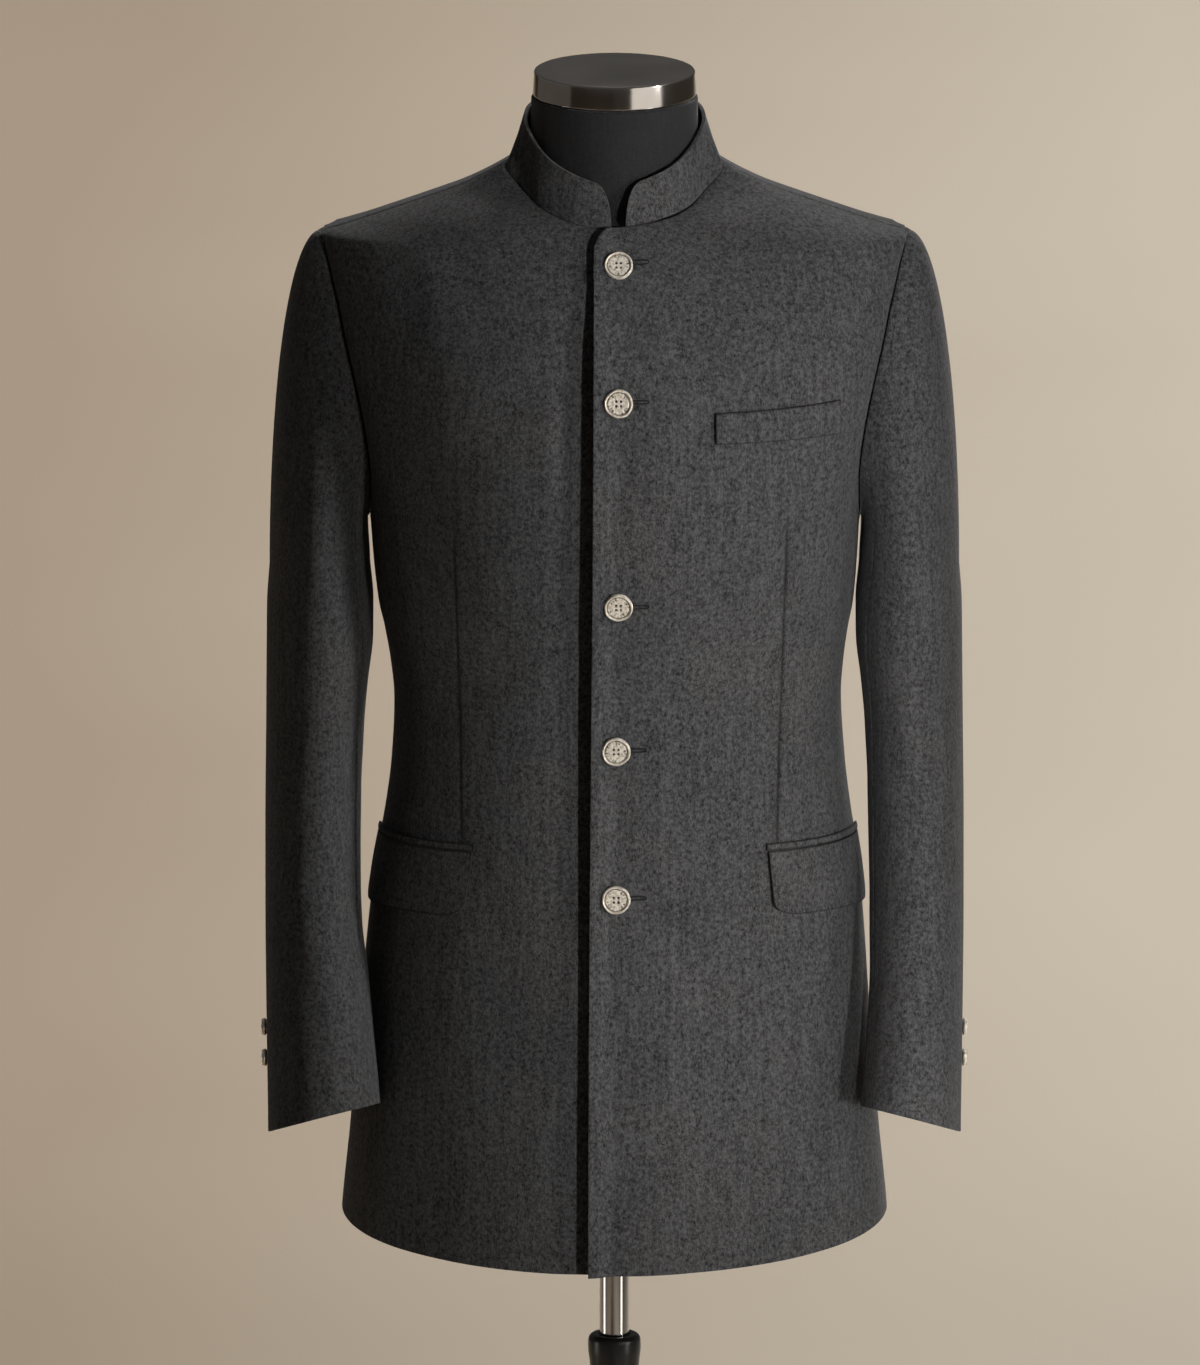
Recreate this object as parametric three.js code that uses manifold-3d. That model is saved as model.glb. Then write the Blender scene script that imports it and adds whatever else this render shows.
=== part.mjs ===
// A bandhgala jacket worn by a limbless dress form on its stand.
// Millimetres, +Z up, the front faces -Y. Left and right are the wearer's, so the left side is at +X.
// The origin is the centre of the stand's base, on the floor.
import * as THREE from 'three';
import { mergeVertices } from 'three/addons/utils/BufferGeometryUtils.js';
import Module from 'manifold-3d';

const wasm = await Module();
wasm.setup();

// Driving sizes
const wall = 2;
const collarWall = 2.6;
const seamGap = 0.32;
const lapGap = 0.6;
const restGap = 2;
const degree = Math.PI / 180;

const hemSide = 617.6;
const hemFallPerDepth = 0.18;
const underarmZ = 1146;
const shoulderTipZ = 1363.7;
const armholeFrontDepth = 60;
const armholeBackDepth = 62;
const armholeSkew = 15 * degree;
const armholeSetBack = 10;

// The right side is a little slimmer at the waist than the left one
const rightWaist = { take: 5.5, z: 955, run: 130 };

// The turn radius that measures how far a point lies from a fold, round the body
const foldRadius = 130;

// Horizontal rings of the body cloth, from below the hem up to the back of the neck:
// half width, depth to the front, depth to the back, and the power of the superellipse.
const bodyRings = [
  { z: 577, half: 206, front: 127, back: 125, power: 2 },
  { z: 617.6, half: 203.7, front: 126, back: 124, power: 2 },
  { z: 679, half: 197.7, front: 124, back: 122, power: 2.06 },
  { z: 761, half: 191, front: 121, back: 120, power: 2.15 },
  { z: 830, half: 186.5, front: 119, back: 117, power: 2.2 },
  { z: 882.5, half: 182.4, front: 117, back: 112, power: 2.22 },
  { z: 928, half: 175.6, front: 114.5, back: 107, power: 2.25 },
  { z: 961, half: 171.7, front: 113, back: 104, power: 2.27 },
  { z: 1013, half: 168.7, front: 113, back: 102, power: 2.3 },
  { z: 1040, half: 170.6, front: 115.5, back: 103.5, power: 2.33 },
  { z: 1066, half: 174.2, front: 119, back: 106, power: 2.36 },
  { z: 1083.5, half: 177.6, front: 122, back: 109, power: 2.38 },
  { z: 1118.5, half: 180.6, front: 128.5, back: 114.5, power: 2.42 },
  { z: 1146, half: 182.2, front: 132.5, back: 118, power: 2.45 },
  { z: 1189, half: 187.6, front: 135.5, back: 120.5, power: 2.45 },
  { z: 1223, half: 194.4, front: 134.5, back: 121, power: 2.44 },
  { z: 1265.5, half: 203.8, front: 128.5, back: 120, power: 2.42 },
  { z: 1290.5, half: 209, front: 122, back: 118, power: 2.4 },
  { z: 1313, half: 212.6, front: 113.5, back: 115, power: 2.35 },
  { z: 1335, half: 216.2, front: 103, back: 110.5, power: 2.27 },
  { z: 1354.5, half: 217.8, front: 91.5, back: 105, power: 2.18 },
  { z: 1363.7, half: 218, front: 85.5, back: 102, power: 2.12 },
  { z: 1369, half: 201.5, front: 82, back: 100, power: 2.08 },
  { z: 1375, half: 183.5, front: 77.5, back: 97.5, power: 2.04 },
  { z: 1381, half: 166, front: 71.5, back: 95, power: 2.02 },
  { z: 1387, half: 148.5, front: 61.5, back: 92, power: 2 },
  { z: 1392, half: 134, front: 51.5, back: 89.5, power: 2 },
  { z: 1396, half: 122.5, front: 41.5, back: 87.5, power: 2 },
  { z: 1407, half: 98.5, front: 24, back: 81, power: 2 },
  { z: 1419, half: 78, front: 17.5, back: 72.5, power: 2 },
  { z: 1427, half: 67, front: 16, back: 67.5, power: 2 },
];

// The neck seam: its height by the angle from the centre front round to the centre back.
const neckSeam = [
  { angle: 0, z: 1380.5 },
  { angle: 9.5, z: 1383.2 },
  { angle: 15, z: 1386.3 },
  { angle: 25, z: 1392.4 },
  { angle: 40, z: 1402.2 },
  { angle: 62, z: 1411.5 },
  { angle: 90, z: 1419 },
  { angle: 135, z: 1422 },
  { angle: 180, z: 1423 },
];

// The collar's top edge: its height by the direction seen from above, 0 at the centre front.
const collarTop = [
  { angle: 0, z: 1411 },
  { angle: 20, z: 1417 },
  { angle: 40, z: 1425 },
  { angle: 90, z: 1451 },
  { angle: 112, z: 1455.5 },
  { angle: 180, z: 1460 },
];
const collar = { half: 67.4, front: 66.5, back: 70.5, endRound: 14, endPower: 2.3, rightEndX: 2.6, leftEndX: 8.6 };

// Rings of the arms below the sleeve head: the sides nearest to and farthest from the body,
// the middle from front to back, and half the depth. spread is how far the right cuff's inner
// side stands inward, and the left one's outward.
const sleeveRings = [
  { z: 1113, inner: 181.9, outer: 256.4, middle: -2, halfDepth: 76, spread: 0 },
  { z: 1084, inner: 179.4, outer: 258.4, middle: -3, halfDepth: 74.5, spread: 0 },
  { z: 1058, inner: 179.6, outer: 258.8, middle: -4, halfDepth: 73, spread: 0 },
  { z: 1023, inner: 183.5, outer: 259.2, middle: -6, halfDepth: 71, spread: 0 },
  { z: 991, inner: 186.3, outer: 259.5, middle: -9, halfDepth: 69, spread: 0 },
  { z: 917, inner: 188.9, outer: 260.2, middle: -19, halfDepth: 64.5, spread: 0 },
  { z: 869, inner: 189.4, outer: 260.2, middle: -29, halfDepth: 61.5, spread: 0.5 },
  { z: 843, inner: 188.9, outer: 260.1, middle: -36, halfDepth: 59.5, spread: 1 },
  { z: 798, inner: 186.3, outer: 259.5, middle: -51, halfDepth: 56, spread: 3.6 },
  { z: 756, inner: 183.2, outer: 258.8, middle: -65, halfDepth: 53, spread: 4.2 },
  { z: 714, inner: 179.6, outer: 258.1, middle: -78, halfDepth: 50, spread: 4.4 },
  { z: 684, inner: 177, outer: 257.9, middle: -86, halfDepth: 48.5, spread: 4.5 },
];
const sleeveHead = { reachTop: 21, reachUnder: 4, rise: 0.1, drop: 0.6, ringZ: 1113 };
const cuff = { z: 704.5, tiltForward: 0.25, tiltInward: 0.26, tiltFrom: 880 };
const sleeveSeams = { frontTop: 120, frontCuff: 160, backTop: 280, backCuff: 346 };

// The largest soft folds, as troughs (depth below 0) and ridges: where each lies (angle round
// the body from the centre front, height), its run, its width, and how far it leans per mm of rise.
const bodyFolds = [
  { side: 1, angle: 21, z: 815, run: 62, width: 17, depth: -2.2, lean: -0.3 },
  { side: 1, angle: 52, z: 742, run: 80, width: 24, depth: 2.4, lean: 0.06 },
  { side: 1, angle: 34, z: 668, run: 70, width: 22, depth: -2, lean: 0.1 },
  { side: 1, angle: 30, z: 1040, run: 46, width: 24, depth: -1.8, lean: 0.9 },
  { side: 1, angle: 44, z: 1190, run: 52, width: 20, depth: -1.8, lean: -0.35 },
  { side: -1, angle: 27, z: 800, run: 84, width: 22, depth: -2.4, lean: 0.12 },
  { side: -1, angle: 56, z: 700, run: 76, width: 25, depth: 2.6, lean: -0.08 },
  { side: -1, angle: 33, z: 1052, run: 40, width: 22, depth: -1.8, lean: -0.9 },
  { side: -1, angle: 36, z: 1316, run: 34, width: 15, depth: 1.6, lean: 0.2 },
  { side: -1, angle: 46, z: 1196, run: 58, width: 20, depth: -2, lean: 0.3 },
  { side: 1, angle: 148, z: 1010, run: 42, width: 26, depth: -2.6, lean: 0.8 },
  { side: 1, angle: 128, z: 760, run: 96, width: 25, depth: 2.8, lean: 0.05 },
  { side: 1, angle: 157, z: 700, run: 84, width: 22, depth: -2.2, lean: -0.06 },
  { side: -1, angle: 142, z: 1022, run: 48, width: 26, depth: -2.4, lean: -0.7 },
  { side: -1, angle: 133, z: 735, run: 88, width: 26, depth: 2.6, lean: -0.04 },
  { side: -1, angle: 160, z: 790, run: 70, width: 20, depth: -1.8, lean: 0.05 },
];

// Creases of the sleeves, by the angle round the arm: 0 outside, 90 front, 180 inside, 270 back.
const sleeveFolds = [
  { side: 1, angle: 82, z: 968, run: 17, width: 30, depth: -3.4, lean: 0.3 },
  { side: 1, angle: 66, z: 1012, run: 20, width: 34, depth: -2.2, lean: -0.35 },
  { side: 1, angle: 62, z: 1205, run: 60, width: 15, depth: -2.4, lean: 0.1 },
  { side: 1, angle: 292, z: 1140, run: 74, width: 17, depth: -3, lean: 0 },
  { side: 1, angle: 262, z: 930, run: 60, width: 20, depth: 2.6, lean: 0 },
  { side: 1, angle: 70, z: 800, run: 42, width: 20, depth: -1.8, lean: 0.25 },
  { side: -1, angle: 86, z: 952, run: 18, width: 32, depth: -3.6, lean: -0.25 },
  { side: -1, angle: 70, z: 1004, run: 22, width: 32, depth: -2.4, lean: 0.3 },
  { side: -1, angle: 58, z: 1190, run: 70, width: 15, depth: -2.6, lean: -0.1 },
  { side: -1, angle: 288, z: 1126, run: 66, width: 18, depth: -2.8, lean: 0 },
  { side: -1, angle: 258, z: 944, run: 64, width: 20, depth: 2.4, lean: 0 },
  { side: -1, angle: 76, z: 812, run: 46, width: 20, depth: -2, lean: -0.2 },
];

// Pockets, on both sides alike apart from the breast welt, which is on the left
const hipFlap = { innerX: 113.6, bottomInnerX: 117.6, outerAngle: 86.5, topInner: 912.4, topOuter: 908 };
hipFlap.rightShift = -5;
hipFlap.bottomInner = 864;
hipFlap.bottomOuter = 857;
hipFlap.cornerRound = 9;
hipFlap.width = 130;
hipFlap.puff = 1.2;
const jetting = { height: 5.6, gap: 0.5, over: 1.5 };
const breastWelt = { innerX: 74.6, outerX: 166.3, topInner: 1253.5, topOuter: 1255.6 };
breastWelt.bottomInner = 1230.5;
breastWelt.bottomOuter = 1229.3;
const patchWall = 2;
const patchLift = 0.62;

// The fastening: the left front laps over the right one
const lap = { edgeTop: 15.2, edgeHem: 19, underTo: 21, levelTo: 26, blend: 44, liftTop: 0.6, liftHem: 5, liftWidth: 26 };
const cornerRadius = 16;
const frontButtons = [
  { x: 2.9, z: 1355.8 },
  { x: 2.9, z: 1261.8 },
  { x: 2.8, z: 1108.6 },
  { x: 1.1, z: 994.4 },
  { x: 1, z: 882 },
];
const frontButton = { radius: 10.8, thickness: 4.2, sides: 18, rim: 2.2, dish: 1.1, hole: 0.95, spacing: 3.4, lift: 0.7 };
const cuffButtons = [
  { z: 765, angle: 355 },
  { z: 745, angle: 355 },
];
const cuffButton = { radius: 6.4, thickness: 3.4, sides: 12, rim: 1.5, dish: 0.8, hole: 0.7, spacing: 2.2, lift: 0.4 };

// The dress form and its stand
const neck = { radius: 61.9, setBack: 1.5, topZ: 1466.8 };
const formClear = 11;
const formPlateClear = 5;
const formShoulderX = 190;
const formBottomZ = 716;
const neckCap = { bottomZ: 1467.1, topZ: 1485.9, bottomRadius: 60.8, topRadius: 59.7, bevel: 1.2 };
const pole = { radius: 11.1, bottomZ: 430 };
const poleClamp = { topZ: 518, topRadius: 19.7, lowRadius: 14.6, bottomZ: 462, round: 5 };
const columnTube = { outer: 14, inner: 12, bottomZ: 16.3, topZ: 461.7 };
const base = { radius: 185, height: 16, edge: 7, hub: 34, hubHeight: 46 };

const finishes = {
  wool: { color: 0x3c3c3f, roughness: 0.92, metalness: 0 },
  button: { color: 0xb9b0a2, roughness: 0.38, metalness: 0.9 },
  cover: { color: 0x17171a, roughness: 0.85, metalness: 0 },
  cap: { color: 0x8d8378, roughness: 0.35, metalness: 0.9 },
  chrome: { color: 0xd8d8d8, roughness: 0.08, metalness: 1 },
  black: { color: 0x141414, roughness: 0.4, metalness: 0.1 },
};

const object = new THREE.Group();

function addMesh(name, geometry, finish) {
  const mesh = new THREE.Mesh(geometry, new THREE.MeshStandardMaterial(finishes[finish]));
  mesh.name = name;
  object.add(mesh);
  return mesh;
}

function mix(a, b, t) {
  return a + (b - a) * t;
}

function smooth(t) {
  const s = THREE.MathUtils.clamp(t, 0, 1);
  return s * s * (3 - 2 * s);
}

// A smooth line through a table's rows that never overshoots them (monotone cubic).
function through(rows, key, value) {
  const xs = rows.map((row) => row[key]);
  const ys = rows.map((row) => row[value]);
  if (xs[0] > xs[xs.length - 1]) {
    xs.reverse();
    ys.reverse();
  }
  const last = xs.length - 1;
  const steps = xs.slice(1).map((x, i) => (ys[i + 1] - ys[i]) / (x - xs[i]));
  const slopes = xs.map((x, i) => {
    if (i === 0) return steps[0];
    if (i === last) return steps[last - 1];
    const before = steps[i - 1];
    const after = steps[i];
    return before * after <= 0 ? 0 : (2 * before * after) / (before + after);
  });
  return (at) => {
    const x = THREE.MathUtils.clamp(at, xs[0], xs[last]);
    let i = 0;
    while (i < last - 1 && x > xs[i + 1]) i += 1;
    const span = xs[i + 1] - xs[i];
    const t = (x - xs[i]) / span;
    const stay = (1 + 2 * t) * (1 - t) * (1 - t);
    const lean = t * (1 - t) * (1 - t) * span;
    return stay * ys[i] + lean * slopes[i] + (1 - stay) * ys[i + 1] - t * t * (1 - t) * span * slopes[i + 1];
  };
}

const bodyHalf = through(bodyRings, 'z', 'half');
const bodyFront = through(bodyRings, 'z', 'front');
const bodyBack = through(bodyRings, 'z', 'back');
const bodyPower = through(bodyRings, 'z', 'power');
const neckSeamZ = through(neckSeam, 'angle', 'z');
const collarTopZ = through(collarTop, 'angle', 'z');
const sleeveInner = through(sleeveRings, 'z', 'inner');
const sleeveOuter = through(sleeveRings, 'z', 'outer');
const sleeveMiddle = through(sleeveRings, 'z', 'middle');
const sleeveHalfDepth = through(sleeveRings, 'z', 'halfDepth');
const sleeveSpread = through(sleeveRings, 'z', 'spread');

// How far the soft folds move a point of the body or of a sleeve along its normal.
function foldDepth(folds, side, angle, z, radius) {
  let depth = 0;
  for (const fold of folds) {
    if (fold.side !== side) continue;
    const rise = z - fold.z;
    const across = (angle - fold.angle * degree) * radius - fold.lean * rise;
    depth += fold.depth * Math.exp(-((across / fold.width) ** 2) - (rise / fold.run) ** 2);
  }
  return depth;
}

// A point of the body's plain ring at an angle from the centre front, on the left side.
function ringPoint(angle, z) {
  const power = bodyPower(z);
  const s = Math.sin(angle);
  const c = Math.cos(angle);
  const reach = (Math.abs(s) ** power + Math.abs(c) ** power) ** (-1 / power);
  const depth = c > 0 ? bodyFront(z) : bodyBack(z);
  return new THREE.Vector3(bodyHalf(z) * s * reach, -depth * c * reach, z);
}

function surfaceNormal(pointAt, u, v, du, dv) {
  const alongU = pointAt(u + du, v).sub(pointAt(u - du, v));
  const alongV = pointAt(u, v + dv).sub(pointAt(u, v - dv));
  return alongU.cross(alongV).normalize();
}

// The share of its width that the right side loses at a height.
function waistTake(z) {
  return (rightWaist.take / bodyHalf(z)) * Math.exp(-(((z - rightWaist.z) / rightWaist.run) ** 2));
}

// A point on the body cloth's outside, moved out along its normal by lift.
function bodyPoint(side, angle, z, lift = 0) {
  const point = ringPoint(angle, z);
  const normal = surfaceNormal(ringPoint, angle, z, 0.01, 1);
  const fold = foldDepth(bodyFolds, side, angle, z, foldRadius);
  point.addScaledVector(normal, lift + fold);
  if (side < 0) point.x *= 1 - waistTake(z);
  return point;
}

// The angle at which the ring at height z has the given x, or the given y.
function angleAtX(x, z) {
  const power = bodyPower(z);
  const across = Math.min(Math.abs(x) / bodyHalf(z), 1);
  return Math.sign(x) * Math.atan2(across, (1 - across ** power) ** (1 / power));
}

function angleAtY(y, z) {
  const power = bodyPower(z);
  const deep = Math.min(y < 0 ? -y / bodyFront(z) : y / bodyBack(z), 1);
  return Math.atan2((1 - deep ** power) ** (1 / power), y < 0 ? deep : -deep);
}

// The armhole's oval: 0 at the shoulder tip, 90 at the front, 180 underarm, 270 at the back.
function armhole(phi) {
  const s = Math.sin(phi);
  const z = mix(underarmZ, shoulderTipZ, (1 + Math.cos(phi)) / 2);
  const bow = s > 0 ? armholeFrontDepth * Math.sin(phi - armholeSkew * s) : armholeBackDepth * s;
  const y = (armholeSetBack * (1 - Math.cos(phi))) / 2 - bow;
  return { angle: angleAtY(y, z), z };
}
const sideSeamAngle = armhole(Math.PI).angle;

// A closed sheet from two grids of points, the outer and the inner side, each rows of equal length.
function sheetGeometry(outer, inner) {
  const rows = outer.length;
  const columns = outer[0].length;
  const points = [...outer.flat(), ...inner.flat()];
  const faces = [];
  const at = (layer, i, j) => layer * rows * columns + i * columns + j;
  const quad = (a, b, c, d) => {
    faces.push(a, b, c, a, c, d);
  };
  for (let i = 0; i < rows - 1; i += 1) {
    for (let j = 0; j < columns - 1; j += 1) {
      quad(at(0, i, j), at(0, i, j + 1), at(0, i + 1, j + 1), at(0, i + 1, j));
      quad(at(1, i, j), at(1, i + 1, j), at(1, i + 1, j + 1), at(1, i, j + 1));
    }
  }
  for (let j = 0; j < columns - 1; j += 1) {
    quad(at(0, 0, j), at(1, 0, j), at(1, 0, j + 1), at(0, 0, j + 1));
    quad(at(0, rows - 1, j), at(0, rows - 1, j + 1), at(1, rows - 1, j + 1), at(1, rows - 1, j));
  }
  for (let i = 0; i < rows - 1; i += 1) {
    quad(at(0, i, 0), at(0, i + 1, 0), at(1, i + 1, 0), at(1, i, 0));
    quad(at(0, i, columns - 1), at(1, i, columns - 1), at(1, i + 1, columns - 1), at(0, i + 1, columns - 1));
  }
  return solidGeometry(points, faces);
}

// A BufferGeometry from points and faces, turned so that its faces point out.
function solidGeometry(points, faces) {
  let volume = 0;
  for (let i = 0; i < faces.length; i += 3) {
    const [a, b, c] = [points[faces[i]], points[faces[i + 1]], points[faces[i + 2]]];
    volume += a.dot(b.clone().cross(c));
  }
  if (volume < 0) faces.reverse();
  const geometry = new THREE.BufferGeometry();
  geometry.setAttribute('position', new THREE.Float32BufferAttribute(points.flatMap((p) => p.toArray()), 3));
  geometry.setIndex(faces);
  geometry.computeVertexNormals();
  return geometry;
}

function mirrored(point, side) {
  return new THREE.Vector3(point.x * side, point.y, point.z);
}

// Rows of a body panel, from the hem to the neck seam. Each row runs from the centre line to the
// side seam, then to the armhole, then to the shoulder seam, and knows the heights of both ends.
const panelSteps = { side: 12, armhole: 9, shoulder: 5 };

function panelRows(isFront) {
  const centre = isFront
    ? { hem: hemSide - hemFallPerDepth * bodyFront(hemSide), chest: 1152, yoke: 1334 }
    : { hem: hemSide, chest: 1152, yoke: 1348 };
  const fromAngle = isFront ? 0 : Math.PI;
  const rows = [];
  for (let i = 0; i <= panelSteps.side; i += 1) {
    const t = i / panelSteps.side;
    const centreZ = mix(centre.hem, centre.chest, t);
    rows.push({ fromAngle, edge: sideSeamAngle, edgeZ: mix(hemSide, underarmZ, t), centreZ });
  }
  for (let i = 1; i <= panelSteps.armhole; i += 1) {
    const turn = (Math.PI * i) / panelSteps.armhole;
    const place = armhole(isFront ? Math.PI - turn : Math.PI + turn);
    const centreZ = mix(centre.chest, centre.yoke, i / panelSteps.armhole);
    rows.push({ fromAngle, edge: place.angle, edgeZ: place.z, centreZ });
  }
  const tip = rows[rows.length - 1];
  for (let i = 1; i <= panelSteps.shoulder; i += 1) {
    const toNeck = i / panelSteps.shoulder;
    rows.push({ fromAngle, edge: Math.PI / 2, edgeZ: tip.edgeZ, centreZ: tip.centreZ, toNeck });
  }
  return rows;
}

function rowHeight(row, angle) {
  const away = (a) => 1 - Math.abs(Math.cos(a));
  const onSideSeam = row.edge === sideSeamAngle;
  const isPastSide = Math.sign(Math.cos(angle)) !== Math.sign(Math.cos(row.fromAngle));
  const share = isPastSide ? 1 : away(angle) / away(onSideSeam ? Math.PI / 2 : row.edge);
  const level = mix(row.centreZ, row.edgeZ, Math.min(share, 1));
  return row.toNeck ? mix(level, neckSeamZ(Math.abs(angle) / degree), row.toNeck) : level;
}

// How far the overlapping front stands off the body, by x and height.
function lapLift(x, z) {
  const up = smooth((z - hemSide) / (neckSeam[0].z - hemSide));
  const edge = mix(lap.edgeHem, lap.edgeTop, up);
  const level = (wall + lapGap) * (1 - smooth((x - lap.levelTo) / lap.blend));
  const curl = mix(lap.liftHem, lap.liftTop, up) * (1 - smooth((x + edge) / lap.liftWidth));
  return level + curl;
}

// The small angle that takes half a seam's gap off a panel's edge, on the side that turn points to.
function halfGapAngle(angle, z, turn) {
  const step = 0.001 * turn;
  return ((seamGap / 2) * step) / ringPoint(angle + step, z).distanceTo(ringPoint(angle, z));
}

const frontColumns = 9;
const backColumns = 8;

function frontPanel(side) {
  const over = side > 0;
  const outer = [];
  const inner = [];
  const rows = panelRows(true);
  rows.forEach((row, index) => {
    const up = index / (rows.length - 1);
    const edgeX = over ? -mix(lap.edgeHem, lap.edgeTop, up) : -lap.underTo;
    const nearX = over ? [edgeX, edgeX + 4, edgeX + 11.5, 8, 24] : [edgeX, -8, 6, 24];
    const near = nearX.map((x) => angleAtX(x, row.centreZ));
    const from = near[near.length - 1];
    const to = row.edge + halfGapAngle(row.edge, rowHeight(row, row.edge), -1);
    const crowd = row.toNeck ? 0.07 : 0.02;
    const far = Array.from({ length: frontColumns }, (_, j) => {
      const t = (j + 1) / frontColumns;
      return mix(from, to, t - crowd * Math.sin(2 * Math.PI * t));
    });
    const angles = [...near, ...far];
    const top = index === rows.length - 1;
    const lifted = (extra) => (angle) => {
      const x = bodyHalf(row.centreZ) * Math.sin(angle);
      const corner = top ? cornerDrop(x - edgeX) : 0;
      const z = rowHeight(row, angle) - corner;
      return mirrored(bodyPoint(side, angle, z, extra + (over ? lapLift(x, z) : 0)), side);
    };
    outer.push(angles.map(lifted(0)));
    inner.push(angles.map(lifted(-wall)));
  });
  return sheetGeometry(outer, inner);
}

// The round corner at the top of a front's free edge.
function cornerDrop(fromEdge) {
  const left = Math.max(cornerRadius - fromEdge, 0);
  return cornerRadius - Math.sqrt(cornerRadius ** 2 - Math.min(left, cornerRadius) ** 2 * 0.92);
}

function backPanel(side) {
  const outer = [];
  const inner = [];
  for (const row of panelRows(false)) {
    const from = Math.PI + halfGapAngle(Math.PI, rowHeight(row, Math.PI), -1);
    const to = row.edge + halfGapAngle(row.edge, rowHeight(row, row.edge), 1);
    const angles = Array.from({ length: backColumns + 1 }, (_, j) => mix(from, to, (j / backColumns) ** 0.9));
    const place = (lift) => (angle) => mirrored(bodyPoint(side, angle, rowHeight(row, angle), lift), side);
    outer.push(angles.map(place(0)));
    inner.push(angles.map(place(-wall)));
  }
  return sheetGeometry(outer, inner);
}

addMesh('front_left', frontPanel(1), 'wool');
addMesh('front_right', frontPanel(-1), 'wool');
addMesh('back_left', backPanel(1), 'wool');
addMesh('back_right', backPanel(-1), 'wool');

// Stand collar: from its right end at the centre front, round the back, to its left end
const collarColumns = 34;
const collarRows = 4;

function collarPoint(share, rise) {
  const side = share < 0 ? -1 : 1;
  const endX = side < 0 ? collar.rightEndX : collar.leftEndX;
  const endAngle = angleAtX(endX, neckSeam[0].z);
  const angle = mix(Math.PI, endAngle, Math.abs(share));
  const z = neckSeamZ(angle / degree);
  const x = bodyHalf(z) * Math.sin(angle);
  const lift = side > 0 && angle < Math.PI / 2 ? lapLift(x, z) : 0;
  const foot = bodyPoint(side, angle, z, lift);
  const way = Math.atan2(foot.x, -foot.y);
  const depth = way < Math.PI / 2 ? collar.front : collar.back;
  const top = new THREE.Vector3(collar.half * Math.sin(way), -depth * Math.cos(way), collarTopZ(way / degree));
  const fromEnd = Math.min(Math.max(foot.x - endX, 0) / collar.endRound, 1);
  const full = way < Math.PI / 2 ? fromEnd : 1;
  const height = Math.max((1 - (1 - full) ** collar.endPower) ** (1 / collar.endPower), 0.12);
  const up = top.sub(foot);
  const start = foot.addScaledVector(up.clone().normalize(), seamGap + 0.4);
  return mirrored(start.addScaledVector(up, rise * height), side);
}

function collarGeometry() {
  const outer = [];
  const inner = [];
  for (let i = 0; i <= collarRows; i += 1) {
    const rise = i / collarRows;
    const shares = Array.from({ length: collarColumns + 1 }, (_, j) => Math.sin((j / collarColumns - 0.5) * Math.PI));
    outer.push(shares.map((share) => collarPoint(share, rise)));
    inner.push(shares.map((share) => {
      const level = new THREE.Vector3(0, 0, 1);
      const step = Math.sign(share) * Math.min(Math.abs(share), 0.985) || 0;
      const along = collarPoint(step + 0.01, 0.3).sub(collarPoint(step - 0.01, 0.3)).cross(level).normalize();
      return collarPoint(share, rise).addScaledVector(along, collarWall);
    }));
  }
  return sheetGeometry(outer, inner);
}

addMesh('collar', collarGeometry(), 'wool');

// Sleeves. phi goes round the arm as round the armhole. t goes from 0 at the armhole to 1 at the
// foot of the sleeve head, and on to 2 at the cuff.
function armRing(side, phi, z) {
  const inner = sleeveInner(z) + side * sleeveSpread(z);
  const outer = sleeveOuter(z);
  const x = (inner + outer) / 2 + ((outer - inner) / 2) * Math.cos(phi);
  const y = sleeveMiddle(z) - sleeveHalfDepth(z) * Math.sin(phi);
  return new THREE.Vector3(x, y, z);
}

function sleeveRaw(side, phi, t) {
  if (t > 1) {
    const level = mix(sleeveHead.ringZ, cuff.z, t - 1);
    const point = armRing(side, phi, level);
    const tilt = smooth((cuff.tiltFrom - level) / (cuff.tiltFrom - cuff.z));
    const forward = (sleeveMiddle(level) - point.y) * cuff.tiltForward;
    const inward = ((sleeveInner(level) + sleeveOuter(level)) / 2 - point.x) * cuff.tiltInward;
    point.z += tilt * (forward + inward);
    return point;
  }
  const hole = armhole(phi);
  const start = ringPoint(hole.angle, hole.z);
  const end = armRing(side, phi, sleeveHead.ringZ);
  const crown = (1 + Math.cos(phi)) / 2;
  const rise = sleeveHead.rise * crown;
  const out = new THREE.Vector3(0.8 + 0.5 * Math.cos(phi), -0.5 * Math.sin(phi), rise).normalize();
  const reach = mix(sleeveHead.reachUnder, sleeveHead.reachTop, crown);
  start.addScaledVector(out, seamGap + 0.1);
  const first = start.clone().addScaledVector(out, reach);
  const second = end.clone();
  second.z += (start.z - end.z) * sleeveHead.drop;
  const late = 1 - t;
  return start.multiplyScalar(late ** 3)
    .addScaledVector(first, 3 * late * late * t)
    .addScaledVector(second, 3 * late * t * t)
    .addScaledVector(end, t ** 3);
}

function sleevePoint(side, phi, t, lift = 0) {
  const point = sleeveRaw(side, phi, t);
  const at = Math.max(t, 0.01);
  const normal = surfaceNormal((a, b) => sleeveRaw(side, a, b), phi, at, 0.01, 0.009);
  const turn = ((phi / degree) % 360 + 360) % 360;
  const fold = foldDepth(sleeveFolds, side, turn * degree, point.z, 58) * smooth((t - 0.15) / 0.3);
  return point.addScaledVector(normal, lift + fold);
}

const armTurnRadius = 45;
const headSteps = [0, 0.13, 0.28, 0.45, 0.64, 0.83, 1];
const armSteps = 13;
const sleeveLevels = [...headSteps, ...Array.from({ length: armSteps }, (_, i) => 1 + (i + 1) / armSteps)];

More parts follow.
